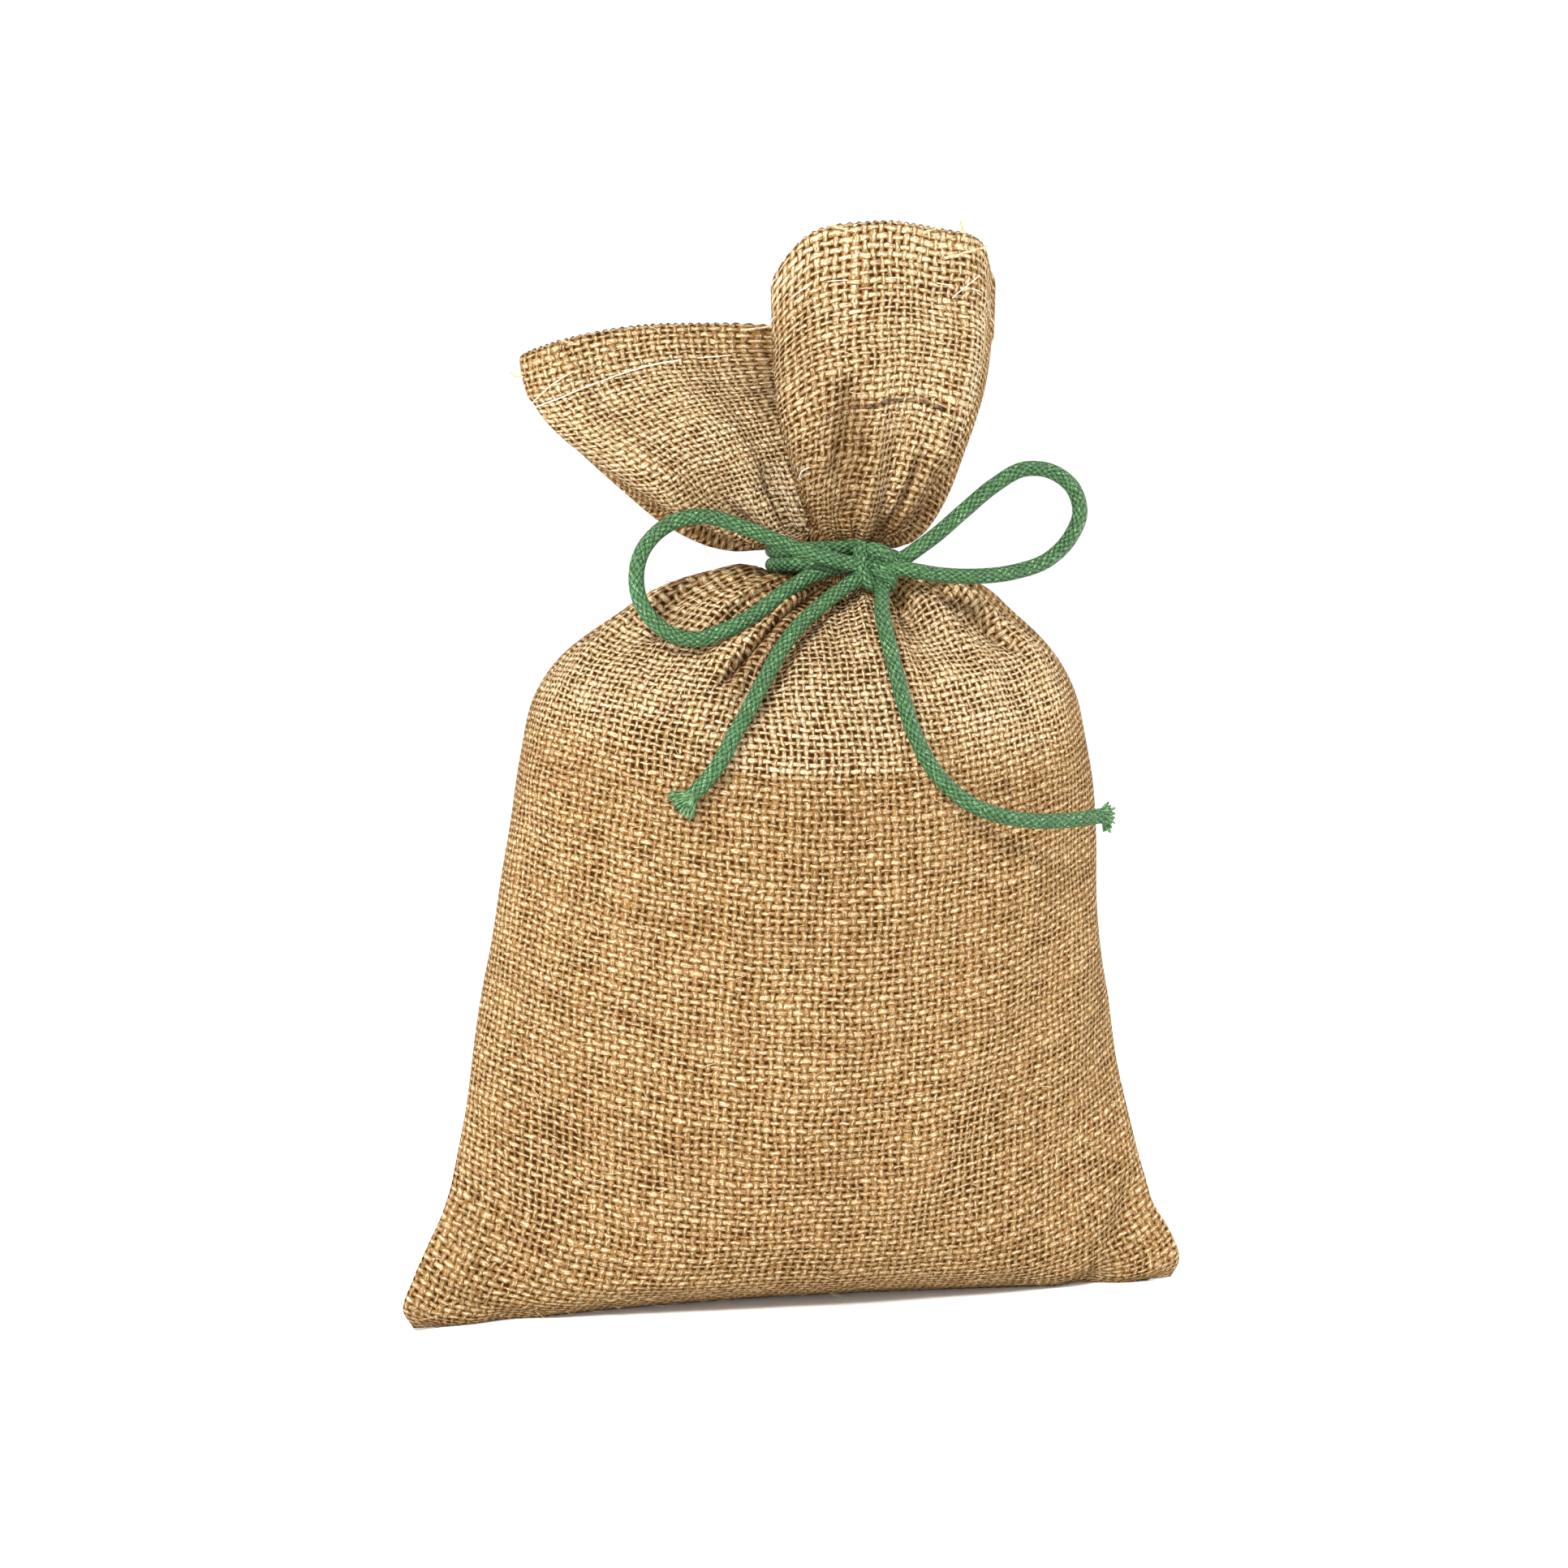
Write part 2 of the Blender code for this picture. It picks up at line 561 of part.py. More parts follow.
def build_tuft(row, material):
    tuft = dict(zip(TUFT_COLUMNS, row))
    points = tube_points(ROUTES[tuft["tail"]])
    way = unit(points[-1] - points[-2])
    start = points[-1] + way * PIECE_GAP
    side = unit(np.cross(way, (0.0, 1.0, 0.0)))
    over = np.cross(way, side)
    collar_path = [start, start + way * TUFT_COLLAR, start + way * 2 * TUFT_COLLAR]
    collar = rings_along(collar_path, CORD / 2, STRAND_SIDES)
    body = finish_mesh(tuft["name"], mesh_from_rings(collar, False), material)
    helpers = []
    for number, share in enumerate(np.linspace(-1.0, 1.0, tuft["yarns"])):
        opening = np.interp(share, (-1.0, 1.0), (tuft["open_from"], tuft["open_to"]))
        layer = over * TUFT_LAYER * (-1) ** number
        at = start + way * TUFT_COLLAR + side * share * TUFT_FOOT + layer
        path = [at]
        for turn in (opening / 2, opening, opening + math.copysign(tuft["curl"], opening)):
            turn = math.radians(turn)
            at = at + (way * math.cos(turn) + side * math.sin(turn)) * tuft["length"] / 3
            path.append(at)
        radii = (TUFT_YARN, TUFT_YARN, TUFT_YARN, TUFT_TIP)
        mesh = mesh_from_rings(rings_along(path, radii, TUFT_SIDES), False)
        helpers.append(finish_mesh(f"{tuft['name']}_yarn_{number}", mesh, material))
    fuse(body, helpers)
    return body


def main():
    clear_scene()
    burlap = make_material("burlap", BURLAP_COLOUR, 0.95)
    cord = make_material("green_cord", CORD_COLOUR, 0.75)
    build_sack(burlap)
    build_tie_knot(cord)
    for name, route in ROUTES.items():
        build_tube(name, route, cord)
    for row in TUFTS:
        build_tuft(row, cord)


main()
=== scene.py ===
import math
from functools import partial

import bpy
import numpy as np
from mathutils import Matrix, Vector


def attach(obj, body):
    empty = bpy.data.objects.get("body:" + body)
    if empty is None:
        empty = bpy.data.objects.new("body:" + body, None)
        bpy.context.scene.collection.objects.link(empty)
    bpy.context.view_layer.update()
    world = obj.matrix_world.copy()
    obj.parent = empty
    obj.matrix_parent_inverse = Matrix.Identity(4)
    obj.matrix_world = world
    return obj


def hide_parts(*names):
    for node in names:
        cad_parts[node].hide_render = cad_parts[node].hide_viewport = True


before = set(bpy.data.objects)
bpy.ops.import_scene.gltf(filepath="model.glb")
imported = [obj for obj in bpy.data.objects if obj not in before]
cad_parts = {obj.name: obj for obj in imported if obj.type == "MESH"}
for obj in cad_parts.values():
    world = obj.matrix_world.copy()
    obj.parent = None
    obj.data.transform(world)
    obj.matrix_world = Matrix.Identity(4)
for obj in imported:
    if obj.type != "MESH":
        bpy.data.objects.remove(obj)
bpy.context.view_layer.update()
mm = 0.001  # the tables are in millimetres, as in the part
print("frame loaded")

camera = {
    "eye": (-0.23095, -0.91827, 0.21180), "target": (-0.002, 0.0, 0.129), "lens": 87.09,
    "sensor": 36.0, "reach": 20.0,
}


def placedObject(name, data, eye, target):
    # a camera or a lamp that looks from one place at another
    obj = bpy.data.objects.new(name, data)
    obj.location = eye
    way = Vector(target) - Vector(eye)
    obj.rotation_euler = way.to_track_quat("-Z", "Y").to_euler()
    bpy.context.scene.collection.objects.link(obj)
    return obj


def buildCamera():
    data = bpy.data.cameras.new("camera")
    data.lens = camera["lens"]
    data.sensor_width = camera["sensor"]
    data.clip_end = camera["reach"]
    bpy.context.scene.camera = placedObject("camera", data, camera["eye"], camera["target"])


buildCamera()
bpy.context.scene.view_settings.view_transform = "Standard"
print("camera set")


# The cloth, laid flat
tubeRound = 400.0  # twice the 200 mm width of the empty sack
clothHeight = 304.0  # bottom fold to mouth, with the hem turned in
clothWall = 1.6  # one layer of coarse burlap
hemWall = 2.6  # the turned hem, two layers
hemHeight = 16.0
hemEase = 4.0  # over this height one layer turns into two

# The filled body, a row for each level of the cloth. The seams are the two side folds.
bodyColumns = (
    "up", "frontZ", "backZ", "seamZ", "middleX", "halfWidth",
    "frontDepth", "backDepth", "foldY", "seamY", "lens", "flatShare",
)
body = (
    (0, 0.0, 0.0, 1.0, -1.2, 98.5, 0.0, 0.0, 3.0, -17.0, 2.6, 0.86),
    (6, 0.0, 0.0, 5.5, -1.2, 101.0, 6.5, 6.5, 3.0, -16.5, 2.3, 0.80),
    (13, 1.4, 0.0, 12.0, -0.8, 98.8, 14.0, 13.5, 3.0, -15.0, 2.0, 0.70),
    (22, 4.8, 0.0, 20.0, -0.4, 94.3, 22.5, 21.5, 2.5, -11.0, 1.8, 0.56),
    (28, 8.0, 0.4, 25.5, 0.3, 92.0, 27.5, 27.0, 2.0, -10.0, 1.7, 0.45),
    (34, 13.0, 3.2, 31.0, 0.8, 90.0, 31.5, 32.5, 1.5, -8.5, 1.62, 0.36),
    (48, 26.5, 15.0, 44.0, 1.0, 86.8, 37.5, 39.5, 0.5, -5.5, 1.6, 0.20),
    (64, 42.5, 31.0, 59.0, 0.8, 83.4, 42.0, 43.5, 0.0, -3.0, 1.7, 0.10),
    (82, 60.5, 50.0, 76.0, 1.6, 80.7, 44.5, 45.5, 0.0, -1.0, 1.82, 0.0),
    (102, 80.5, 71.0, 95.0, 2.4, 78.0, 45.0, 45.5, 0.0, 0.0, 1.92, 0.0),
    (124, 102.5, 94.5, 116.5, 3.2, 75.0, 45.0, 45.0, 0.0, 0.0, 2.0, 0.0),
    (146, 125.0, 118.0, 137.5, 3.8, 72.4, 44.0, 43.5, 0.0, 0.0, 2.05, 0.0),
    (164, 143.0, 137.0, 153.5, 4.2, 67.9, 41.5, 40.5, 0.0, 0.0, 2.05, 0.0),
    (178, 156.5, 151.5, 164.0, 4.8, 60.8, 37.0, 36.0, 0.0, 0.0, 2.0, 0.0),
    (190, 166.5, 163.0, 171.5, 6.0, 50.5, 31.0, 30.0, 0.0, 0.0, 2.0, 0.0),
    (200, 173.5, 173.5, 178.0, 8.0, 39.5, 25.5, 26.0, 0.0, 0.0, 2.0, 0.0),
    (207, 177.0, 179.3, 181.4, 9.8, 28.5, 20.0, 22.5, 0.0, 0.0, 2.0, 0.0),
    (211, 178.6, 181.6, 182.8, 10.5, 21.0, 16.4, 19.6, 0.0, 0.0, 2.0, 0.0),
    (213, 179.4, 180.6, 180.9, 10.7, 17.2, 14.8, 16.4, 0.0, 0.0, 2.0, 0.0),
    (215, 180.9, 180.9, 180.9, 10.7, 13.0, 12.5, 12.5, 0.0, 0.0, 2.0, 0.0),
    (221, 189.4, 189.4, 189.4, 10.7, 13.0, 12.5, 12.5, 0.0, 0.0, 2.0, 0.0),
)
neckTop = 221.0
earSkew = 0.3  # the left ear reaches forward by this much more, the right one by less

# The open head above the tie, a row for each fold of the mouth, going round from the
# left side seam: front first, then back. "mid" is halfway up from the tie.
headMid = 261.0
headColumns = ("along", "midX", "midY", "midZ", "mouthX", "mouthY", "mouthZ")
head = (
    (0, -43, 0, 203.5, -68.5, 0, 234.5),
    (9, -38, -7, 204.5, -64, -5, 236.5),
    (34, -23, -10, 211, -42, -6, 241.5),
    (60, -7, -10, 215, -17, -5, 242.5),
    (76, 5, -5, 216, 4, -2, 243),
    (90, -7, -16, 214, -9, -15, 253),
    (99, -1, -23, 218, -4, -23, 262),
    (116, 14, -24, 222, 13, -28, 266.5),
    (134, 29, -21, 222, 31, -23, 265.5),
    (148, 40, -13, 219, 45, -11, 263.5),
    (162, 44, -2, 215, 52, 1, 257),
    (178, 44, 9, 212, 54, 13, 251),
    (200, 40, 20, 211, 51, 29, 246),
    (226, 29, 27, 212, 37, 43, 247),
    (252, 13, 28, 212, 16, 44, 246),
    (276, 0, 22, 210, 3, 33, 242),
    (296, -6, 13, 209, -2, 19, 239),
    (318, -15, 12, 208, -19, 14, 240),
    (344, -25, 13, 206, -38, 15, 239),
    (372, -34, 10, 204.5, -55, 12, 237),
    (391, -41, 6, 203.5, -65, 5.5, 235),
)
flare = 1.45  # how squarely the head turns outwards above the tie
flareLift = 0.0  # and how much it rises there
headSwell = 1.3  # how far the head bellies out between its middle and the mouth
rimLean = 0.08  # how much of its outward lean a thread keeps at the mouth
rimRise = 1.4  # and of its rise

# Gathers at the tie, and the listed creases: a soft trough from one place in the
# cloth to another, or a ridge where depth is below zero.
gathers = 13
gatherColumns = ("up", "depth")
gather = (
    (150, 0.0), (178, 0.7), (196, 2.0), (208, 1.6), (214, 0.4), (222, 0.4), (230, 1.6),
    (246, 1.4), (270, 0.5), (304, 0.3),
)
creaseColumns = ("alongFrom", "upFrom", "alongTo", "upTo", "width", "depth")
creases = (
    (86, 206, 70, 172, 5.6, 5.6),
    (60, 202, 36, 178, 7.0, 2.4),
    (128, 204, 146, 180, 6.5, 3.0),
    (150, 202, 168, 184, 6.0, 2.2),
    (112, 226, 104, 252, 6.0, 2.4),
    (62, 228, 52, 250, 7.0, 2.4),
    (230, 206, 216, 172, 6.0, 4.0),
    (292, 206, 306, 170, 6.0, 4.5),
    (342, 204, 356, 176, 6.0, 3.0),
    (250, 228, 246, 268, 7.0, 3.0),
    (8, 40, 30, 10, 7.0, 2.0),
    (192, 30, 172, 8, 6.0, 3.0),
)

neckCentre = (10.7, 0.0, 184.9)
neckRadii = (13.0, 12.5)


def eased(share):
    return share * share * (3 - 2 * share)


def between(t, start, leave, end, arrive):
    # a smooth way from start to end, with its slope at both
    return (
        start * (2 * t**3 - 3 * t**2 + 1)
        + leave * (t**3 - 2 * t**2 + t)
        + end * (3 * t**2 - 2 * t**3)
        + arrive * (t**3 - t**2)
    )


def smoothThrough(knots, values, at, period=None):
    # a smooth curve through the values at the knots, going round where there is a period
    knots = np.asarray(knots, float)
    values = np.asarray(values, float)
    at = np.asarray(at, float)
    if period:
        at = np.mod(at, period)
        knots = np.concatenate([knots[-2:] - period, knots, knots[:2] + period])
        values = np.concatenate([values[-2:], values, values[:2]])
    flat = values.reshape(len(knots), -1)
    slopes = np.gradient(flat, knots, axis=0)
    span = np.clip(np.searchsorted(knots, at, side="right") - 1, 0, len(knots) - 2)
    width = (knots[span + 1] - knots[span])[:, None]
    t = np.clip((at - knots[span])[:, None] / width, 0.0, 1.0)
    found = between(t, flat[span], slopes[span] * width, flat[span + 1], slopes[span + 1] * width)
    return found.reshape((len(at),) + values.shape[1:])


def bodyRow(up):
    table = np.array(body, float)
    row = smoothThrough(table[:, 0], table[:, 1:], [up])[0]
    return dict(zip(bodyColumns[1:], row))


def halfSection(row, depth, middleZ, shares):
    # the front or the back of one level, at even shares of its own length
    turn = np.linspace(0.0, math.pi, 181)
    power = 2.0 / row["lens"]
    across = -np.sign(np.cos(turn)) * np.abs(np.cos(turn)) ** power
    bulge = np.abs(np.sin(turn)) ** power
    seam = row["seamY"] * (1.0 - earSkew * across)
    seamLine = row["foldY"] + (seam - row["foldY"]) * across**2
    flat = min(max(row["flatShare"], 0.0), 0.95)
    rise = np.clip((np.abs(across) - flat) / (1.0 - flat), 0.0, 1.0) ** 2
    points = np.stack([
        row["middleX"] + row["halfWidth"] * across,
        seamLine + depth * bulge,
        middleZ + (row["seamZ"] - middleZ) * rise,
    ], axis=1)
    steps = np.linalg.norm(np.diff(points, axis=0), axis=1)
    run = np.concatenate([[0.0], np.cumsum(steps)])
    return np.stack([np.interp(shares * run[-1], run, points[:, k]) for k in range(3)], 1)


def bodyRing(up, alongs):
    row = bodyRow(up)
    half = tubeRound / 2
    front = alongs <= half
    ring = np.empty((len(alongs), 3))
    ring[front] = halfSection(row, -row["frontDepth"], row["frontZ"], alongs[front] / half)
    back = (tubeRound - alongs[~front]) / half
    ring[~front] = halfSection(row, row["backDepth"], row["backZ"], back)
    return ring


def headRing(up, alongs, neck):
    table = np.array(head, float)
    mid = smoothThrough(table[:, 0], table[:, 1:4], alongs, tubeRound)
    mouth = smoothThrough(table[:, 0], table[:, 4:7], alongs, tubeRound)
    leave = flare * (mid - neck) * np.array([1.0, 1.0, flareLift])
    lower = headMid - neckTop
    upper = clothHeight - headMid
    through = ((mid - neck) / lower + (mouth - mid) / upper) / 2
    if up <= headMid:
        t = (up - neckTop) / lower
        start, end, out, on = neck, mid, leave, through * lower
    else:
        t = (up - headMid) / upper
        rim = (mouth - mid) * np.array([rimLean, rimLean, rimRise])
        start, end, out, on = mid, mouth, through * upper * headSwell, rim
    return between(t, start, out, end, on)


def clothLevels(ups, alongs):
    neck = bodyRing(neckTop, alongs)
    rings = [
        bodyRing(up, alongs) if up <= neckTop else headRing(up, alongs, neck)
        for up in ups
    ]
    return np.array(rings)


def drawnIn(turn):
    # the gathers round the neck, unevenly spaced
    return np.cos(gathers * turn + 1.1 * np.sin(2 * turn + 0.5))


def creaseDepth(ups, alongs):
    up, along = np.meshgrid(ups, alongs, indexing="ij")
    turn = 2 * math.pi * along / tubeRound
    table = np.array(gather, float)
    depth = np.interp(ups, table[:, 0], table[:, 1])[:, None]
    uneven = 0.7 + 0.3 * np.sin(3 * turn + 0.8)
    return depth * uneven * drawnIn(turn) + placedCreases(up, along, creases)


def placedCreases(up, along, table):
    drawn = np.zeros(up.shape)
    for row in table:
        crease = dict(zip(creaseColumns, row))
        runAlong = crease["alongTo"] - crease["alongFrom"]
        runUp = crease["upTo"] - crease["upFrom"]
        length = math.hypot(runAlong, runUp)
        fromAlong = along - crease["alongFrom"]
        fromUp = up - crease["upFrom"]
        on = (fromAlong * runAlong + fromUp * runUp) / length**2
        off = (fromAlong * runUp - fromUp * runAlong) / length
        ends = eased(np.clip((0.5 - np.abs(on - 0.5)) / 0.25 + 0.6, 0.0, 1.0))
        drawn = drawn + crease["depth"] * np.exp(-((off / crease["width"]) ** 2)) * ends
    return drawn


def outward(grid):
    around = np.roll(grid, -1, axis=1) - np.roll(grid, 1, axis=1)
    upward = np.gradient(grid, axis=0)
    normal = np.cross(around, upward)
    return normal / np.maximum(np.linalg.norm(normal, axis=2, keepdims=True), 1e-9)


def outerCloth(ups, alongs):
    grid = clothLevels(ups, alongs)
    drawn = creaseDepth(ups, alongs)
    grid = grid - outward(grid) * drawn[:, :, None]
    low = np.asarray(ups) < neckTop
    flat = 0.35  # what is lower than this lies on the floor
    grid[low, :, 2] = np.where(grid[low, :, 2] < flat, 0.0, grid[low, :, 2])
    return grid


def unit(vector):
    return vector / np.linalg.norm(vector)


def ringsAlong(path, radii, sides):
    path = np.asarray(path, float)
    ways = np.gradient(path, axis=0)
    side = np.cross(ways[0], (0.31, 0.17, 0.94))  # no path starts along this
    turn = np.arange(sides) * 2 * math.pi / sides
    rings = []
    for point, way, radius in zip(path, ways, np.broadcast_to(radii, len(path))):
        way = unit(way)
        side = unit(side - way * np.dot(side, way))
        other = np.cross(way, side)
        circle = np.outer(np.cos(turn), side) + np.outer(np.sin(turn), other)
        rings.append(point + radius * circle)
    return np.array(rings)


def fromKnot(places):
    # places given to the right, to the front and up from the knot's middle
    right = np.array([math.cos(knotTurn), math.sin(knotTurn), 0.0])
    front = np.array([math.sin(knotTurn), -math.cos(knotTurn), 0.0])
    return np.array(knotCentre) + np.asarray(places, float) @ np.array([right, front, (0.0, 0.0, 1.0)])


# Routes of the cord's free stretches, from the knot outwards
routes = {
    "loop_left": (
        (6.7, -24, 185.2), (-1.1, -24, 187.1), (-9.7, -21.8, 190.5), (-18.3, -19.8, 194.1),
        (-27.2, -18.8, 196.3), (-33.3, -19, 195.4), (-38.4, -19.6, 192.5),
        (-42.5, -20.8, 187.8), (-44.3, -22.6, 182), (-43.7, -24.4, 176.2), (-41, -25.8, 171.6),
        (-36.6, -26.8, 168.1), (-30.5, -27.2, 166.9), (-23, -26.8, 169.1), (-15.1, -25, 173),
        (-6.8, -22.6, 178.4), (-0.7, -20.8, 181.6), (3.2, -20.2, 183),
    ),
    "loop_right": (
        (24.5, -22, 187), (30.3, -22, 191), (38.3, -21.6, 197.5), (46.1, -21.2, 203.6),
        (53.9, -20.8, 207.6), (61.6, -20.6, 206.8), (66.9, -20.6, 202.6), (68.4, -21, 196.8),
        (66, -21.6, 191.2), (59.9, -22.4, 185.4), (50.4, -23.2, 182.3), (40.1, -24, 181.4),
        (30.7, -24.4, 181.9), (24.2, -24.5, 183),
    ),
    "tail_left": (
        (7.6, -24.5, 179.3), (2.3, -26, 175.9), (-1.9, -28, 173), (-8.6, -32, 167.4),
        (-15, -35.8, 158.8), (-20.6, -39, 150.2), (-24.9, -41.1, 143.9), (-28.3, -41.6, 137.9),
        (-31, -41.3, 134.3), (-34.6, -41.0, 130.6),
    ),
    "tail_right": (
        (16.4, -25.2, 177.1), (14.8, -31.6, 171.9), (15.1, -35.8, 166), (16.3, -39.4, 157.7),
        (18.7, -42.5, 147.1), (20.8, -43.8, 141.3), (23.6, -44.8, 136.2), (27.3, -45.6, 131.6),
        (32.5, -46.2, 127.5), (39.4, -46, 124.6), (48.6, -44.5, 122.8), (58.7, -42, 122.4),
        (68.4, -39, 123),
    ),
}

knotCentre = (15.9, -20.6, 183.8)
knotTurn = math.radians(-14.0)
knotCore = (4.2, 4.8, 4.0)
knotStrands = {
    "frontBand": (
        (-1.6, -1.8, 3.2), (-2.9, 0.8, 4.4), (-3.7, 3.2, 2.2), (-3.4, 4.0, -0.8),
        (-2.0, 3.6, -3.2), (-0.6, 2.2, -4.4), (0.2, 0.4, -3.8),
    ),
    "crown": (
        (-3.0, -0.6, 3.0), (-0.6, 1.8, 4.2), (2.4, 2.6, 3.2), (4.1, 0.8, 0.8),
        (3.4, -1.4, -1.2),
    ),
    "curl": (
        (-0.4, 1.6, 0.0), (1.6, 3.4, -1.2), (3.6, 2.8, -2.8), (3.4, 1.2, -4.2),
        (1.8, 0.2, -3.6),
    ),
}

# Where the cord's free stretches start inside the knot, from its middle as well
knotRoots = {
    "loop_left": ((-1.0, 1.5, 0.8), (-1.5, -1.5, -0.4)),
    "loop_right": ((1.5, -0.5, 0.8), (1.0, 1.8, -0.2)),
    "tail_left": ((-0.8, 1.2, -1.6), None),
    "tail_right": ((0.4, 1.8, -2.2), None),
}


def feed(tree, socket, value):
    if isinstance(value, bpy.types.NodeSocket):
        tree.links.new(value, socket)
    else:
        socket.default_value = value


def mathNode(tree, operation, *values, clamp=False):
    node = tree.nodes.new("ShaderNodeMath")
    node.operation = operation
    node.use_clamp = clamp
    for place, value in enumerate(values):
        feed(tree, node.inputs[place], value)
    return node.outputs[0]


def vectorOf(tree, *values):
    node = tree.nodes.new("ShaderNodeCombineXYZ")
    for place, value in enumerate(values):
        feed(tree, node.inputs[place], value)
    return node.outputs[0]


def noiseNode(tree, vector, scale, detail=1.0, roughness=0.5):
    node = tree.nodes.new("ShaderNodeTexNoise")
    node.noise_dimensions = "2D"
    tree.links.new(vector, node.inputs["Vector"])
    node.inputs["Scale"].default_value = scale
    node.inputs["Detail"].default_value = detail
    node.inputs["Roughness"].default_value = roughness
    return node


def channels(tree, colour):
    node = tree.nodes.new("ShaderNodeSeparateColor")
    tree.links.new(colour, node.inputs[0])
    return node.outputs[0], node.outputs[1], node.outputs[2]


def mixFloat(tree, share, a, b):
    step = mathNode(tree, "MULTIPLY", share, mathNode(tree, "SUBTRACT", b, a))
    return mathNode(tree, "ADD", a, step)


def mixColour(tree, share, a, b, blend="MIX"):
    node = tree.nodes.new("ShaderNodeMix")
    node.data_type = "RGBA"
    node.blend_type = blend
    for place, value in ((0, share), (6, a), (7, b)):
        feed(tree, node.inputs[place], (*value, 1.0) if isinstance(value, tuple) else value)
    return node.outputs[2]


weaveLook = {
    "driftScale": 0.16, "drift": 2.4, "shakeScale": 1.25, "shake": 0.95, "sway": 0.7,
    "slubScale": 0.21, "slubSwell": 2.6, "widest": 1.04, "roundness": 0.42,
    "plyAcross": 17.0, "plyAlong": 8.0, "plyDepth": 0.02,
}


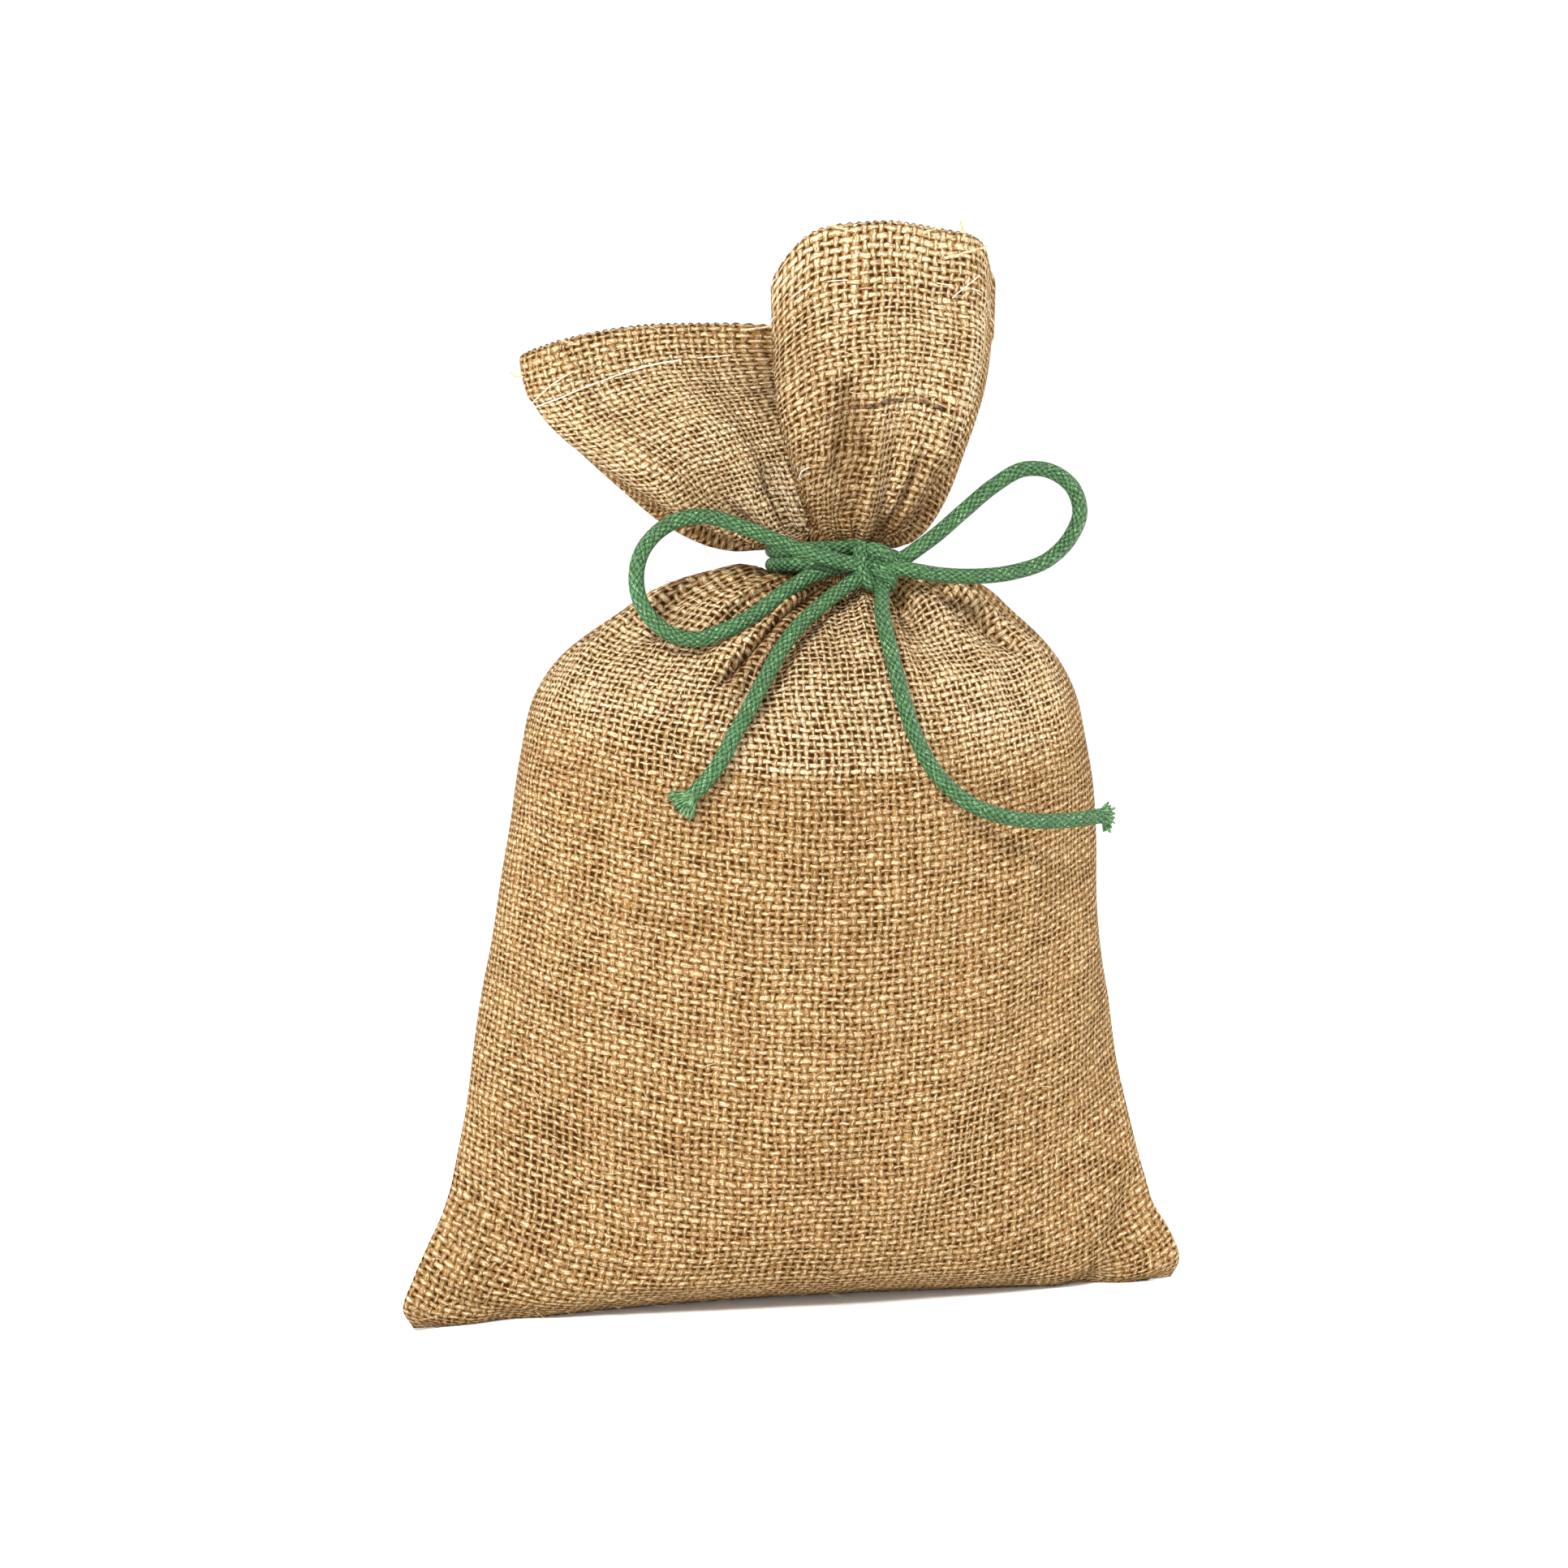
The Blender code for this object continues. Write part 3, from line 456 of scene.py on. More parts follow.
def weaveGroup():
    # one thread to a unit of the vector: warp across x, weft across y, crossing over and under
    tree = bpy.data.node_groups.new("weave", "ShaderNodeTree")
    sockets = (
        ("Threads", "NodeSocketVector", None), ("Warp Width", "NodeSocketFloat", 0.6),
        ("Weft Width", "NodeSocketFloat", 0.8), ("Wander", "NodeSocketFloat", 0.5),
        ("Crimp", "NodeSocketFloat", 0.3), ("Slub", "NodeSocketFloat", 0.5),
        ("Fibres", "NodeSocketFloat", 9.0),
    )
    for name, kind, value in sockets:
        socket = tree.interface.new_socket(name, in_out="INPUT", socket_type=kind)
        if value is not None:
            socket.default_value = value
    for name in ("Height", "Hole", "Weft", "Edge", "Streak", "Tint"):
        tree.interface.new_socket(name, in_out="OUTPUT", socket_type="NodeSocketFloat")
    given = tree.nodes.new("NodeGroupInput").outputs
    out = tree.nodes.new("NodeGroupOutput").inputs
    look = weaveLook
    m = partial(mathNode, tree)

    parts = tree.nodes.new("ShaderNodeSeparateXYZ")
    tree.links.new(given["Threads"], parts.inputs[0])
    plainU, plainV = parts.outputs[0], parts.outputs[1]

    def wandering(scale):
        place = vectorOf(tree, m("MULTIPLY", plainU, scale), m("MULTIPLY", plainV, scale))
        return channels(tree, noiseNode(tree, place, 1.0, 2.0).outputs["Color"])

    driftU, driftV, _ = wandering(look["driftScale"])
    shakeU, shakeV, _ = wandering(look["shakeScale"])

    def moved(plain, slow, quick):
        near = m("MULTIPLY", m("SUBTRACT", quick, 0.5), look["shake"])
        far = m("MULTIPLY_ADD", m("SUBTRACT", slow, 0.5), look["drift"], near)
        return m("MULTIPLY_ADD", far, given["Wander"], plain)

    u, v = moved(plainU, driftU, shakeU), moved(plainV, driftV, shakeV)
    warp, weft = m("FLOOR", u), m("FLOOR", v)
    acrossWarp = m("SUBTRACT", m("SUBTRACT", u, warp), 0.5)
    acrossWeft = m("SUBTRACT", m("SUBTRACT", v, weft), 0.5)

    def yarn(number, run, across, width, parity, sign, seed):
        place = vectorOf(
            tree, m("MULTIPLY_ADD", number, 7.31, seed), m("MULTIPLY", run, look["slubScale"]),
        )
        thick, shift, _ = channels(tree, noiseNode(tree, place, 1.0, 1.5).outputs["Color"])
        slub = m("MULTIPLY", m("SUBTRACT", thick, 0.5), given["Slub"])
        factor = m("MULTIPLY_ADD", slub, look["slubSwell"], 1.0)
        wide = m("MINIMUM", m("MULTIPLY", width, factor), look["widest"])
        sway = m("MULTIPLY", given["Wander"], look["sway"])
        aside = m("ADD", across, m("MULTIPLY", m("SUBTRACT", shift, 0.5), sway))
        ratio = m("DIVIDE", m("MULTIPLY", aside, 2.0), wide)
        profile = m("SQRT", m("MAXIMUM", m("SUBTRACT", 1.0, m("MULTIPLY", ratio, ratio)), 0.0))
        there = m("GREATER_THAN", profile, 0.001)
        phase = m("MULTIPLY", m("ADD", m("SUBTRACT", run, 0.5), parity), math.pi)
        crimp = m("MULTIPLY", m("MULTIPLY", m("COSINE", phase), given["Crimp"]), sign)
        ply = m("MULTIPLY_ADD", aside, look["plyAcross"], m("MULTIPLY", run, look["plyAlong"]))
        twist = m("MULTIPLY", m("SINE", ply), look["plyDepth"])
        rise = m("ADD", m("MULTIPLY_ADD", profile, look["roundness"], crimp), twist)
        height = m("SUBTRACT", m("MULTIPLY", m("ADD", rise, 1.0), there), 1.0)
        return height, profile

    warpHeight, warpProfile = yarn(warp, v, acrossWarp, given["Warp Width"], warp, 1.0, 0.37)
    weftHeight, weftProfile = yarn(weft, u, acrossWeft, given["Weft Width"], weft, -1.0, 41.3)
    onTop = m("GREATER_THAN", weftHeight, warpHeight)
    height = m("MAXIMUM", weftHeight, warpHeight)
    hole = m("LESS_THAN", height, -0.95)
    tree.links.new(m("MAXIMUM", height, -0.5), out["Height"])
    tree.links.new(hole, out["Hole"])
    tree.links.new(onTop, out["Weft"])
    tree.links.new(mixFloat(tree, onTop, warpProfile, weftProfile), out["Edge"])
    fibreWarp = vectorOf(tree, m("MULTIPLY", u, given["Fibres"]), m("MULTIPLY", v, 1.1))
    fibreWeft = vectorOf(tree, m("MULTIPLY_ADD", u, 1.1, 50.0), m("MULTIPLY", v, given["Fibres"]))
    fibre = tree.nodes.new("ShaderNodeMix")
    fibre.data_type = "VECTOR"
    tree.links.new(onTop, fibre.inputs[0])
    tree.links.new(fibreWarp, fibre.inputs[4])
    tree.links.new(fibreWeft, fibre.inputs[5])
    streak = noiseNode(tree, fibre.outputs[1], 1.0, 3.0, 0.6)
    tree.links.new(streak.outputs[0], out["Streak"])
    which = tree.nodes.new("ShaderNodeTexWhiteNoise")
    which.noise_dimensions = "2D"
    run = mixFloat(tree, onTop, m("ADD", warp, 0.5), m("ADD", weft, 300.5))
    tree.links.new(vectorOf(tree, run, m("MULTIPLY", onTop, 7.0)), which.inputs["Vector"])
    tree.links.new(which.outputs["Value"], out["Tint"])
    return tree


def newMaterial(name):
    material = bpy.data.materials.new(name)
    material.use_nodes = True
    tree = material.node_tree
    shader = tree.nodes["Principled BSDF"]
    return material, tree, shader


def groupNode(tree, group, **inputs):
    node = tree.nodes.new("ShaderNodeGroup")
    node.node_tree = group
    for name, value in inputs.items():
        feed(tree, node.inputs[name.replace("_", " ")], value)
    return node.outputs


def threadsNode(tree):
    # the count of threads across and along, kept as the piece's UV map
    node = tree.nodes.new("ShaderNodeUVMap")
    node.uv_map = "threads"
    return node.outputs[0]


def setGloss(shader, roughness, specular):
    shader.inputs["Roughness"].default_value = roughness
    shader.inputs["Specular IOR Level"].default_value = specular


def bumpNode(tree, height, distance):
    node = tree.nodes.new("ShaderNodeBump")
    node.inputs["Strength"].default_value = 1.0
    node.inputs["Distance"].default_value = distance
    tree.links.new(height, node.inputs["Height"])
    return node.outputs[0]


weave = weaveGroup()

burlapLook = {
    "warp": (0.282, 0.147, 0.045), "weft": (0.330, 0.178, 0.059), "pale": (0.60, 0.470, 0.290),
    "dark": (0.140, 0.052, 0.011), "hole": (0.038, 0.014, 0.004), "through": (0.010, 0.008, 0.005),
    "warpWidth": 0.73, "weftWidth": 0.75, "thinned": 0.36, "wander": 0.38, "crimp": 0.30,
    "slub": 0.58, "fibres": 7.0, "fuzz": 3.2, "blotches": 0.035, "bleachAndLight": 0.16, "shade": 0.58,
    "relief": 0.0023, "streakRelief": 0.20, "fuzzRelief": 0.18, "roughness": 0.92, "specular": 0.03,
}


def burlapMaterial():
    look = burlapLook
    material, tree, shader = newMaterial("burlapWeave")
    m = partial(mathNode, tree)
    patches = tree.nodes.new("ShaderNodeAttribute")
    patches.attribute_name = "patches"
    # the green channel holds bleach and painted light, the blue channel painted shade
    openWeave, bleachedAndLit, shade = channels(tree, patches.outputs["Color"])
    threads = threadsNode(tree)
    full = m("SUBTRACT", 1.0, m("MULTIPLY", openWeave, look["thinned"]))
    cloth = groupNode(
        tree, weave, Threads=threads, Warp_Width=m("MULTIPLY", full, look["warpWidth"]),
        Weft_Width=m("MULTIPLY", full, look["weftWidth"]), Wander=look["wander"],
        Crimp=look["crimp"], Slub=look["slub"], Fibres=look["fibres"],
    )
    streak, fuzz = cloth["Streak"], noiseNode(tree, threads, look["fuzz"], 3.0, 0.7).outputs[0]

    # painted highlights, pale on the crests of the yarns and stronger where the patches are pale; dark
    # fibres in their streaks
    yarn = mixColour(tree, cloth["Weft"], look["warp"], look["weft"])
    crest = m("MULTIPLY_ADD", cloth["Edge"], 2.4, m("MULTIPLY_ADD", cloth["Height"], 1.3, -2.85))
    crest = m("ADD", crest, m("MULTIPLY_ADD", cloth["Weft"], 0.30, m("MULTIPLY", bleachedAndLit, 0.75)))
    crest = m("MULTIPLY_ADD", m("SUBTRACT", fuzz, 0.5), 2.2, crest)
    bright = m("MULTIPLY_ADD", m("SUBTRACT", streak, 0.5), 3.6, crest, clamp=True)
    yarn = mixColour(tree, bright, yarn, look["pale"])
    dull = m("MULTIPLY", m("SUBTRACT", 0.48, streak), 3.4, clamp=True)
    yarn = mixColour(tree, dull, yarn, look["dark"])

    # how light each place is: the yarns' own tint, blotches and fuzz, painted shade on the sides of
    # each yarn and in the low places of the weave, and the patches' bleach, painted light and painted
    # shade; warmer where it is darker
    level = m("MULTIPLY_ADD", cloth["Tint"], 0.36, 0.84)
    edge = m("MULTIPLY_ADD", m("POWER", cloth["Edge"], 0.8), 0.34, 0.71)
    low = m("MULTIPLY_ADD", cloth["Height"], 0.55, 0.78, clamp=True)
    broad = noiseNode(tree, threads, look["blotches"], 2.0)
    blotch = m("MULTIPLY_ADD", broad.outputs[0], 0.16, 0.95)
    fluffy = m("MULTIPLY_ADD", fuzz, 1.1, 0.48)
    level = m("MULTIPLY", m("MULTIPLY", level, edge), m("MULTIPLY", low, m("MULTIPLY", blotch, fluffy)))
    level = m("MULTIPLY", level, m("MULTIPLY_ADD", bleachedAndLit, look["bleachAndLight"], 1.0))
    level = m("MULTIPLY", level, m("SUBTRACT", 1.0, m("MULTIPLY", shade, look["shade"])))
    warm = vectorOf(tree, m("POWER", level, 0.84), level, m("POWER", level, 1.18))
    yarn = mixColour(tree, 1.0, yarn, warm, "MULTIPLY")

    # the gaps between the yarns are painted dark as shade; darkest where the cloth is thin, where the
    # shaded inside and the dark contents show through
    thin = m("MULTIPLY_ADD", openWeave, 2.4, -1.1, clamp=True)
    gap = mixColour(tree, thin, look["hole"], look["through"])
    yarn = mixColour(tree, cloth["Hole"], yarn, gap)
    tree.links.new(yarn, shader.inputs["Base Color"])
    fluff = m("MULTIPLY_ADD", fuzz, look["fuzzRelief"], cloth["Height"])
    fine = m("MULTIPLY_ADD", streak, look["streakRelief"], fluff)
    tree.links.new(bumpNode(tree, fine, look["relief"]), shader.inputs["Normal"])
    setGloss(shader, look["roughness"], look["specular"])
    return material


cordLook = {
    "deep": (0.004, 0.013, 0.005), "green": (0.037, 0.119, 0.036), "fleck": (0.26, 0.43, 0.22),
    "width": 0.98, "wander": 0.34, "crimp": 0.28, "slub": 0.34, "fibres": 4.5,
    "relief": 0.0013, "roughness": 0.62, "specular": 0.3,
}


def cordMaterial():
    look = cordLook
    material, tree, shader = newMaterial("greenBraid")
    m = partial(mathNode, tree)
    braid = groupNode(
        tree, weave, Threads=threadsNode(tree), Warp_Width=look["width"], Weft_Width=look["width"],
        Wander=look["wander"], Crimp=look["crimp"], Slub=look["slub"], Fibres=look["fibres"],
    )
    fleck = m("MULTIPLY", m("SUBTRACT", braid["Streak"], 0.545), 6.5, clamp=True)
    yarn = mixColour(tree, fleck, look["green"], look["fleck"])
    # painted shade on the sides of the strands and in their low places, towards the deep colour
    level = m("MULTIPLY_ADD", m("POWER", braid["Edge"], 1.1), 0.95, 0.08)
    level = m("MULTIPLY", level, m("MULTIPLY_ADD", braid["Height"], 1.3, 0.22, clamp=True))
    level = m("MULTIPLY", level, m("MULTIPLY_ADD", braid["Tint"], 0.45, 0.82))
    dark = mixColour(tree, level, look["deep"], yarn)
    tree.links.new(dark, shader.inputs["Base Color"])
    tree.links.new(bumpNode(tree, braid["Height"], look["relief"]), shader.inputs["Normal"])
    setGloss(shader, look["roughness"], look["specular"])
    return material


def yarnMaterial(name, deep, light, roughness):
    # a loose thread or yarn, streaked between two colours
    material, tree, shader = newMaterial(name)
    m = partial(mathNode, tree)
    streak = noiseNode(tree, threadsNode(tree), 1.0, 2.0)
    share = m("MULTIPLY_ADD", m("SUBTRACT", streak.outputs[0], 0.5), 2.4, 0.5, clamp=True)
    tree.links.new(mixColour(tree, share, deep, light), shader.inputs["Base Color"])
    setGloss(shader, roughness, 0.2)
    return material


burlap = burlapMaterial()
greenBraid = cordMaterial()
greenYarn = yarnMaterial("greenYarn", (0.006, 0.024, 0.007), (0.15, 0.29, 0.13), 0.8)
hemThread = yarnMaterial("hemThread", (0.62, 0.50, 0.33), (0.90, 0.82, 0.66), 0.85)
looseYarn = yarnMaterial("looseYarn", (0.34, 0.20, 0.085), (0.80, 0.62, 0.36), 0.9)
darkYarn = yarnMaterial("darkYarn", (0.012, 0.007, 0.004), (0.17, 0.10, 0.045), 0.9)
print("materials made")


def meshObject(name, points, faces, material, corners, colours=None):
    # corners hold the threads' count, colours the cloth's patches
    mesh = bpy.data.meshes.new(name)
    mesh.vertices.add(len(points))
    mesh.vertices.foreach_set("co", (np.asarray(points, float) * mm).ravel())
    faces = np.asarray(faces, int)
    mesh.loops.add(faces.size)
    mesh.loops.foreach_set("vertex_index", faces.ravel())
    mesh.polygons.add(len(faces))
    mesh.polygons.foreach_set("loop_start", np.arange(len(faces)) * faces.shape[1])
    mesh.update(calc_edges=True)
    mesh.validate()
    layer = mesh.uv_layers.new(name="threads")
    layer.data.foreach_set("uv", np.asarray(corners, float).ravel())
    if colours is not None:
        layer = mesh.color_attributes.new("patches", "FLOAT_COLOR", "POINT")
        layer.data.foreach_set("color", np.asarray(colours, float).ravel())
    mesh.shade_smooth()
    mesh.materials.append(material)
    obj = bpy.data.objects.new(name, mesh)
    bpy.context.scene.collection.objects.link(obj)
    return obj


quadCorners = ((0, 0), (0, 1), (1, 1), (1, 0))  # row and column of a quad's corners, in their order


def ringFaces(rows, columns):
    # quads between neighbouring rows, going round the columns
    low = np.arange(rows - 1)[:, None] * columns
    j = np.arange(columns)[None, :]
    k = (j + 1) % columns
    return np.stack([low + j, low + k, low + columns + k, low + columns + j], -1).reshape(-1, 4)


# 188 warp threads go round the sack. At the neck they are squeezed towards an anchor: one for
# each side of the pleat in front, and one for the back.
threadLook = {
    "warpPitch": 400.0 / 188.0, "weftPitch": 1.69, "anchors": (40.0, 135.0, 300.0),
    "squeeze": (
        (0, 1.0), (160, 1.0), (190, 0.86), (212, 0.66), (221, 0.62), (236, 0.75), (255, 0.95),
        (262, 1.0), (304, 1.0),
    ),
    "pleat": ((0, 70), (172, 70), (206, 85), (221, 83), (304, 79)),
}


def threadCorners(ups, rises, alongs):
    # the threads' count at each corner of each quad; they are drawn together at the neck
    look = threadLook
    squeeze, pleat = np.array(look["squeeze"]), np.array(look["pleat"])
    edges = np.append(alongs, tubeRound)
    middle = (edges[1:] + edges[:-1]) / 2
    high = (np.asarray(ups)[1:] + np.asarray(ups)[:-1]) / 2
    line = np.interp(high, pleat[:, 0], pleat[:, 1])[:, None]
    anchor = np.where(
        middle[None] > tubeRound / 2, look["anchors"][2],
        np.where(middle[None] < line, look["anchors"][0], look["anchors"][1]),
    )
    corners = np.empty((len(high), len(middle), 4, 2))
    for place, (row, column) in enumerate(quadCorners):
        level = np.asarray(ups)[row:len(ups) - 1 + row]
        along = edges[column:len(edges) - 1 + column][None]
        drawn = np.interp(level, squeeze[:, 0], squeeze[:, 1])[:, None]
        corners[:, :, place, 0] = (anchor + (along - anchor) * drawn) / look["warpPitch"]
        rise = np.asarray(rises)[row:len(ups) - 1 + row]
        corners[:, :, place, 1] = (rise / look["weftPitch"])[:, None]
    return corners


# Thin places of the cloth, pale places (some bleached, some given painted light) and places with
# painted shade; none of a patch is below its "lowest"
patchColumns = ("along", "up", "reachAlong", "reachUp", "open", "pale", "shade", "lowest")
patches = (
    (88, 178, 44, 32, 0.42, 0.62, 0.0, 154),
    (48, 159, 10, 9, 0.70, 0.3, 0.0, 0),
    (27, 50, 9, 20, 0.50, 0.1, 0.0, 0),
    (137, 60, 10, 17, 0.45, 0.1, 0.0, 0),
    (120, 288, 11, 4, 0.55, 0.4, 0.0, 0),
    (100, 288, 4, 3, 0.65, 0.4, 0.0, 0),
    (122, 268, 44, 40, 0.15, 0.50, 0.0, 0),
    (152, 272, 11, 26, 0.0, 1.0, 0.0, 0),
    (35, 266, 50, 40, 0.12, 0.55, 0.0, 0),
    (26, 182, 42, 28, 0.24, 0.60, 0.0, 0),
    (154, 180, 34, 28, 0.24, 0.65, 0.0, 0),
    (108, 240, 18, 22, 0.0, 0.0, 0.46, 0),
    (97, 262, 9, 34, 0.0, 0.0, 0.40, 0),
    (118, 300, 42, 7, 0.0, 0.55, 0.0, 0),
    (250, 120, 60, 40, 0.15, 0.2, 0.0, 0),
    (330, 60, 40, 30, 0.25, 0.0, 0.0, 0),
    (48, 242, 26, 18, 0.0, 0.80, 0.0, 0),
    (70, 276, 12, 24, 0.0, 0.0, 0.38, 0),
    (83, 262, 6, 46, 0.0, 0.0, 0.75, 0),
    (114, 224, 34, 12, 0.0, 0.0, 0.40, 0),
    (90, 210, 70, 6, 0.0, 0.0, 0.30, 0),
    (79, 200, 8, 8, 0.0, 0.0, 0.50, 0),
    (71, 190, 6, 8, 0.0, 0.0, 0.60, 0),
    (65, 181, 4, 6, 0.0, 0.0, 0.50, 0),
)


def patchColours(ups, alongs):
    up, along = np.meshgrid(ups, alongs, indexing="ij")
    colours = np.zeros(up.shape + (4,))
    colours[..., 3] = 1.0
    for row in patches:
        patch = dict(zip(patchColumns, row))
        aside = (along - patch["along"]) / patch["reachAlong"]
        above = (up - patch["up"]) / patch["reachUp"]
        there = eased(np.clip(1.35 - (aside**2 + above**2), 0.0, 1.0))
        there = there * np.clip(up - patch["lowest"], 0.0, 1.0)
        for channel, kind in enumerate(("open", "pale", "shade")):
            colours[..., channel] = np.maximum(colours[..., channel], there * patch[kind])
    # painted shade along the fine creases, deeper where they are deeper
    dark = np.clip(placedCreases(up, along, fineCreases) / 4.0, 0.0, 0.75)
    colours[..., 2] = np.clip(colours[..., 2] + dark, 0.0, 0.85)
    return colours


# Depths by height in the cloth, but "ruffled", which goes by the place round it
foldLook = {
    "neck": (
        (0, 0.0), (150, 0.0), (178, 0.30), (203, 0.75), (212, 0.35), (221, 0.25), (230, 0.6),
        (246, 0.5), (272, 0.25), (304, 0.15),
    ),
    "ripples": (29, 47),
    "ruffle": (
        (0, 0.0), (217, 0.0), (223, 0.9), (236, 2.9), (250, 3.2), (264, 2.6), (284, 1.7),
        (304, 1.1),
    ),
    "ruffled": (
        (0, 0.2), (20, 0.25), (45, 0.25), (66, 0.35), (84, 0.9), (100, 0.4), (140, 0.35),
        (168, 0.4), (185, 0.8), (210, 1.7), (300, 1.8), (370, 1.5), (390, 0.6), (400, 0.2),
    ),
    "lumps": ((0, 0.0), (25, 0.1), (60, 0.55), (160, 0.55), (200, 0.2), (304, 0.2)),
    "hemLift": 0.5, "hemFrom": 291.0,
}

# Creases too narrow for the part, and the lobe's ridge with the trough beside it
fineCreases = (
    (77, 206, 62, 178, 2.0, 4.6),
    (72, 204, 54, 182, 3.5, -1.4),
    (165, 200, 168, 179, 2.0, 1.6),
    (160, 203, 167, 187, 1.8, 1.4),
    (14, 204, 30, 186, 2.2, 1.5),
    (104, 276, 101, 250, 4.0, -1.6),
    (101, 252, 107, 238, 3.4, -1.6),
    (110, 268, 108, 236, 5.5, 3.4),
    (139, 294, 144, 254, 1.6, 0.9),
    (138, 250, 133, 228, 2.6, 2.0),
    (52, 244, 60, 226, 2.0, 1.8),
    (58, 153.6, 118, 154.2, 0.9, 0.7),
    (22, 214, 30, 240, 3.0, 1.2),
    (147, 248, 141, 225, 8.0, 2.6),
    (2, 246, 4, 224, 7.0, 2.0),
    (398, 246, 396, 224, 7.0, 2.0),
)


def fineFolds(ups, alongs):
    # ripples at the tie, the ruffled mouth, and the slight lumps of what the cloth holds
    look = foldLook
    up, along = np.meshgrid(ups, alongs, indexing="ij")
    turn = 2 * math.pi * along / tubeRound

    def read(kind, at):
        table = np.array(look[kind])
        return np.interp(at, table[:, 0], table[:, 1])

    broad, narrow = look["ripples"]
    near = read("neck", up)
    uneven = 0.6 + 0.4 * np.sin(7 * turn + 1.0)
    drawn = near * np.cos(broad * turn + 2.2 * np.sin(3 * turn + up / 40)) * uneven
    drawn += 0.5 * near * np.cos(narrow * turn + 1.7 * np.sin(5 * turn - up / 23))
    drawn += read("ruffle", up) * read("ruffled", along) * drawnIn(turn)
    swell = read("lumps", up)
    drawn += swell * np.sin(up / 9.0 + 2.5 * np.sin(2 * turn)) * np.cos(6 * turn + up / 27)
    drawn += swell * 0.7 * np.cos(up / 13.0 - 11 * turn + 1.3)
    drawn += placedCreases(up, along, fineCreases)
    return drawn - look["hemLift"] * eased(np.clip((up - look["hemFrom"]) / 2.0, 0.0, 1.0))


def fineCloth(ups, alongs):
    grid = outerCloth(ups, alongs)
    drawn = fineFolds(ups, alongs)
    grid = grid - outward(grid) * drawn[:, :, None]
    grid[:, :, 2] = np.maximum(grid[:, :, 2], 0.0)
    return grid


sackLook = {
    "bodyRound": 400, "bodyLevels": 190, "split": 218.0,
    "headRound": 600, "headLevels": (286.0, 52), "hemLevels": (286.8, 303.2, 20), "lastLevel": 303.7,
    "rimRings": 3, "tooth": 0.55, "inside": ((218, 1.0), (250, 0.8), (285, 0.25), (304, 0.0)),
}


def buildBody():
    # up to the tie, the front sewn to the back along the bottom fold
    look = sackLook
    alongs = np.arange(look["bodyRound"]) * tubeRound / look["bodyRound"]
    ups = np.linspace(0.0, look["split"], look["bodyLevels"])
    grid = fineCloth(ups, alongs)
    half = look["bodyRound"] // 2
    grid[0, half + 1:] = grid[0, 1:half][::-1]
    number = np.arange(grid.shape[0] * grid.shape[1])
    number[half + 1:look["bodyRound"]] = np.arange(1, half)[::-1]
    return meshObject(
        "sackBody", grid.reshape(-1, 3), number[ringFaces(len(ups), len(alongs))], burlap,
        threadCorners(ups, ups, alongs).reshape(-1, 2), patchColours(ups, alongs).reshape(-1, 4),
    )


def buildHead():
    # above the tie: the outside, the rim with the ends of its threads, and the inside
    look = sackLook
    alongs = np.arange(look["headRound"]) * tubeRound / look["headRound"]
    ups = np.concatenate([
        np.linspace(look["split"], *look["headLevels"]), np.linspace(*look["hemLevels"]),
        [look["lastLevel"]],
    ])
    outer = fineCloth(ups, alongs)
    hem = np.clip((ups - clothHeight + hemHeight) / hemEase, 0.0, 1.0)
    wall = clothWall + (hemWall - clothWall) * hem
    inner = outer - outward(outer) * wall[:, None, None]
    out, back = outer[-1], inner[-1]
    rise = outer[-1] - outer[-4]
    rise = rise / np.linalg.norm(rise, axis=1, keepdims=True)
    tooth = look["tooth"] * (1 + np.abs(np.cos(math.pi * alongs / threadLook["warpPitch"])))
    rim, rings = [], look["rimRings"]
    for turn in np.arange(1, rings + 1) * math.pi / (rings + 1):
        side = (out + back) / 2 + (out - back) / 2 * math.cos(turn)
        rim.append(side + rise * (hemWall / 2 * math.sin(turn) * tooth)[:, None])
    grid = np.concatenate([outer, rim, inner[::-1], outer[:1]])
    levels = np.concatenate([ups, np.full(rings, clothHeight), ups[::-1], ups[:1]])
    down = 2 * clothHeight + 4.0 - ups[::-1]  # the weft's count goes on down the inside
    rises = np.concatenate([ups, clothHeight + np.arange(1, rings + 1), down, down[-1:] + 2.0])
    colours = patchColours(levels, alongs)
    # painted shade on the inside of the head, deepest at the tie and none at the mouth
    inside = np.array(look["inside"])
    colours[len(ups) + rings:-1, :, 2] = np.interp(ups, inside[:, 0], inside[:, 1])[::-1, None]
    return meshObject(
        "sackHead", grid.reshape(-1, 3), ringFaces(len(grid), len(alongs)), burlap,
        threadCorners(levels, rises, alongs).reshape(-1, 2), colours.reshape(-1, 4),
    )


sackBody = buildBody()
sackHead = buildHead()
print("cloth built")


cordSize = {"thick": 3.8, "strands": 8, "lay": 2.1, "sides": 20, "step": 0.7, "gap": 0.3}
wrapLook = {"turns": 2, "pitch": 3.6, "start": -76.0, "points": 260}
coreLook = {"rings": 9, "round": 16, "share": 0.85, "back": 0.8}


def lengthsAlong(path):
    steps = np.linalg.norm(np.diff(path, axis=0), axis=1)
    return np.concatenate([[0.0], np.cumsum(steps)])


def lengthOf(path):
    return float(np.linalg.norm(np.diff(path, axis=0), axis=1).sum())


def alongPath(route, step):
    # points of a smooth curve through the route, evenly spaced
    route = np.array(route, float)
    knots = lengthsAlong(route)
    fine = smoothThrough(knots, route, np.linspace(0.0, knots[-1], 800))
    run = lengthsAlong(fine)
    at = np.linspace(0.0, run[-1], max(4, round(run[-1] / step) + 1))
    return np.stack([np.interp(at, run, fine[:, k]) for k in range(3)], axis=1)


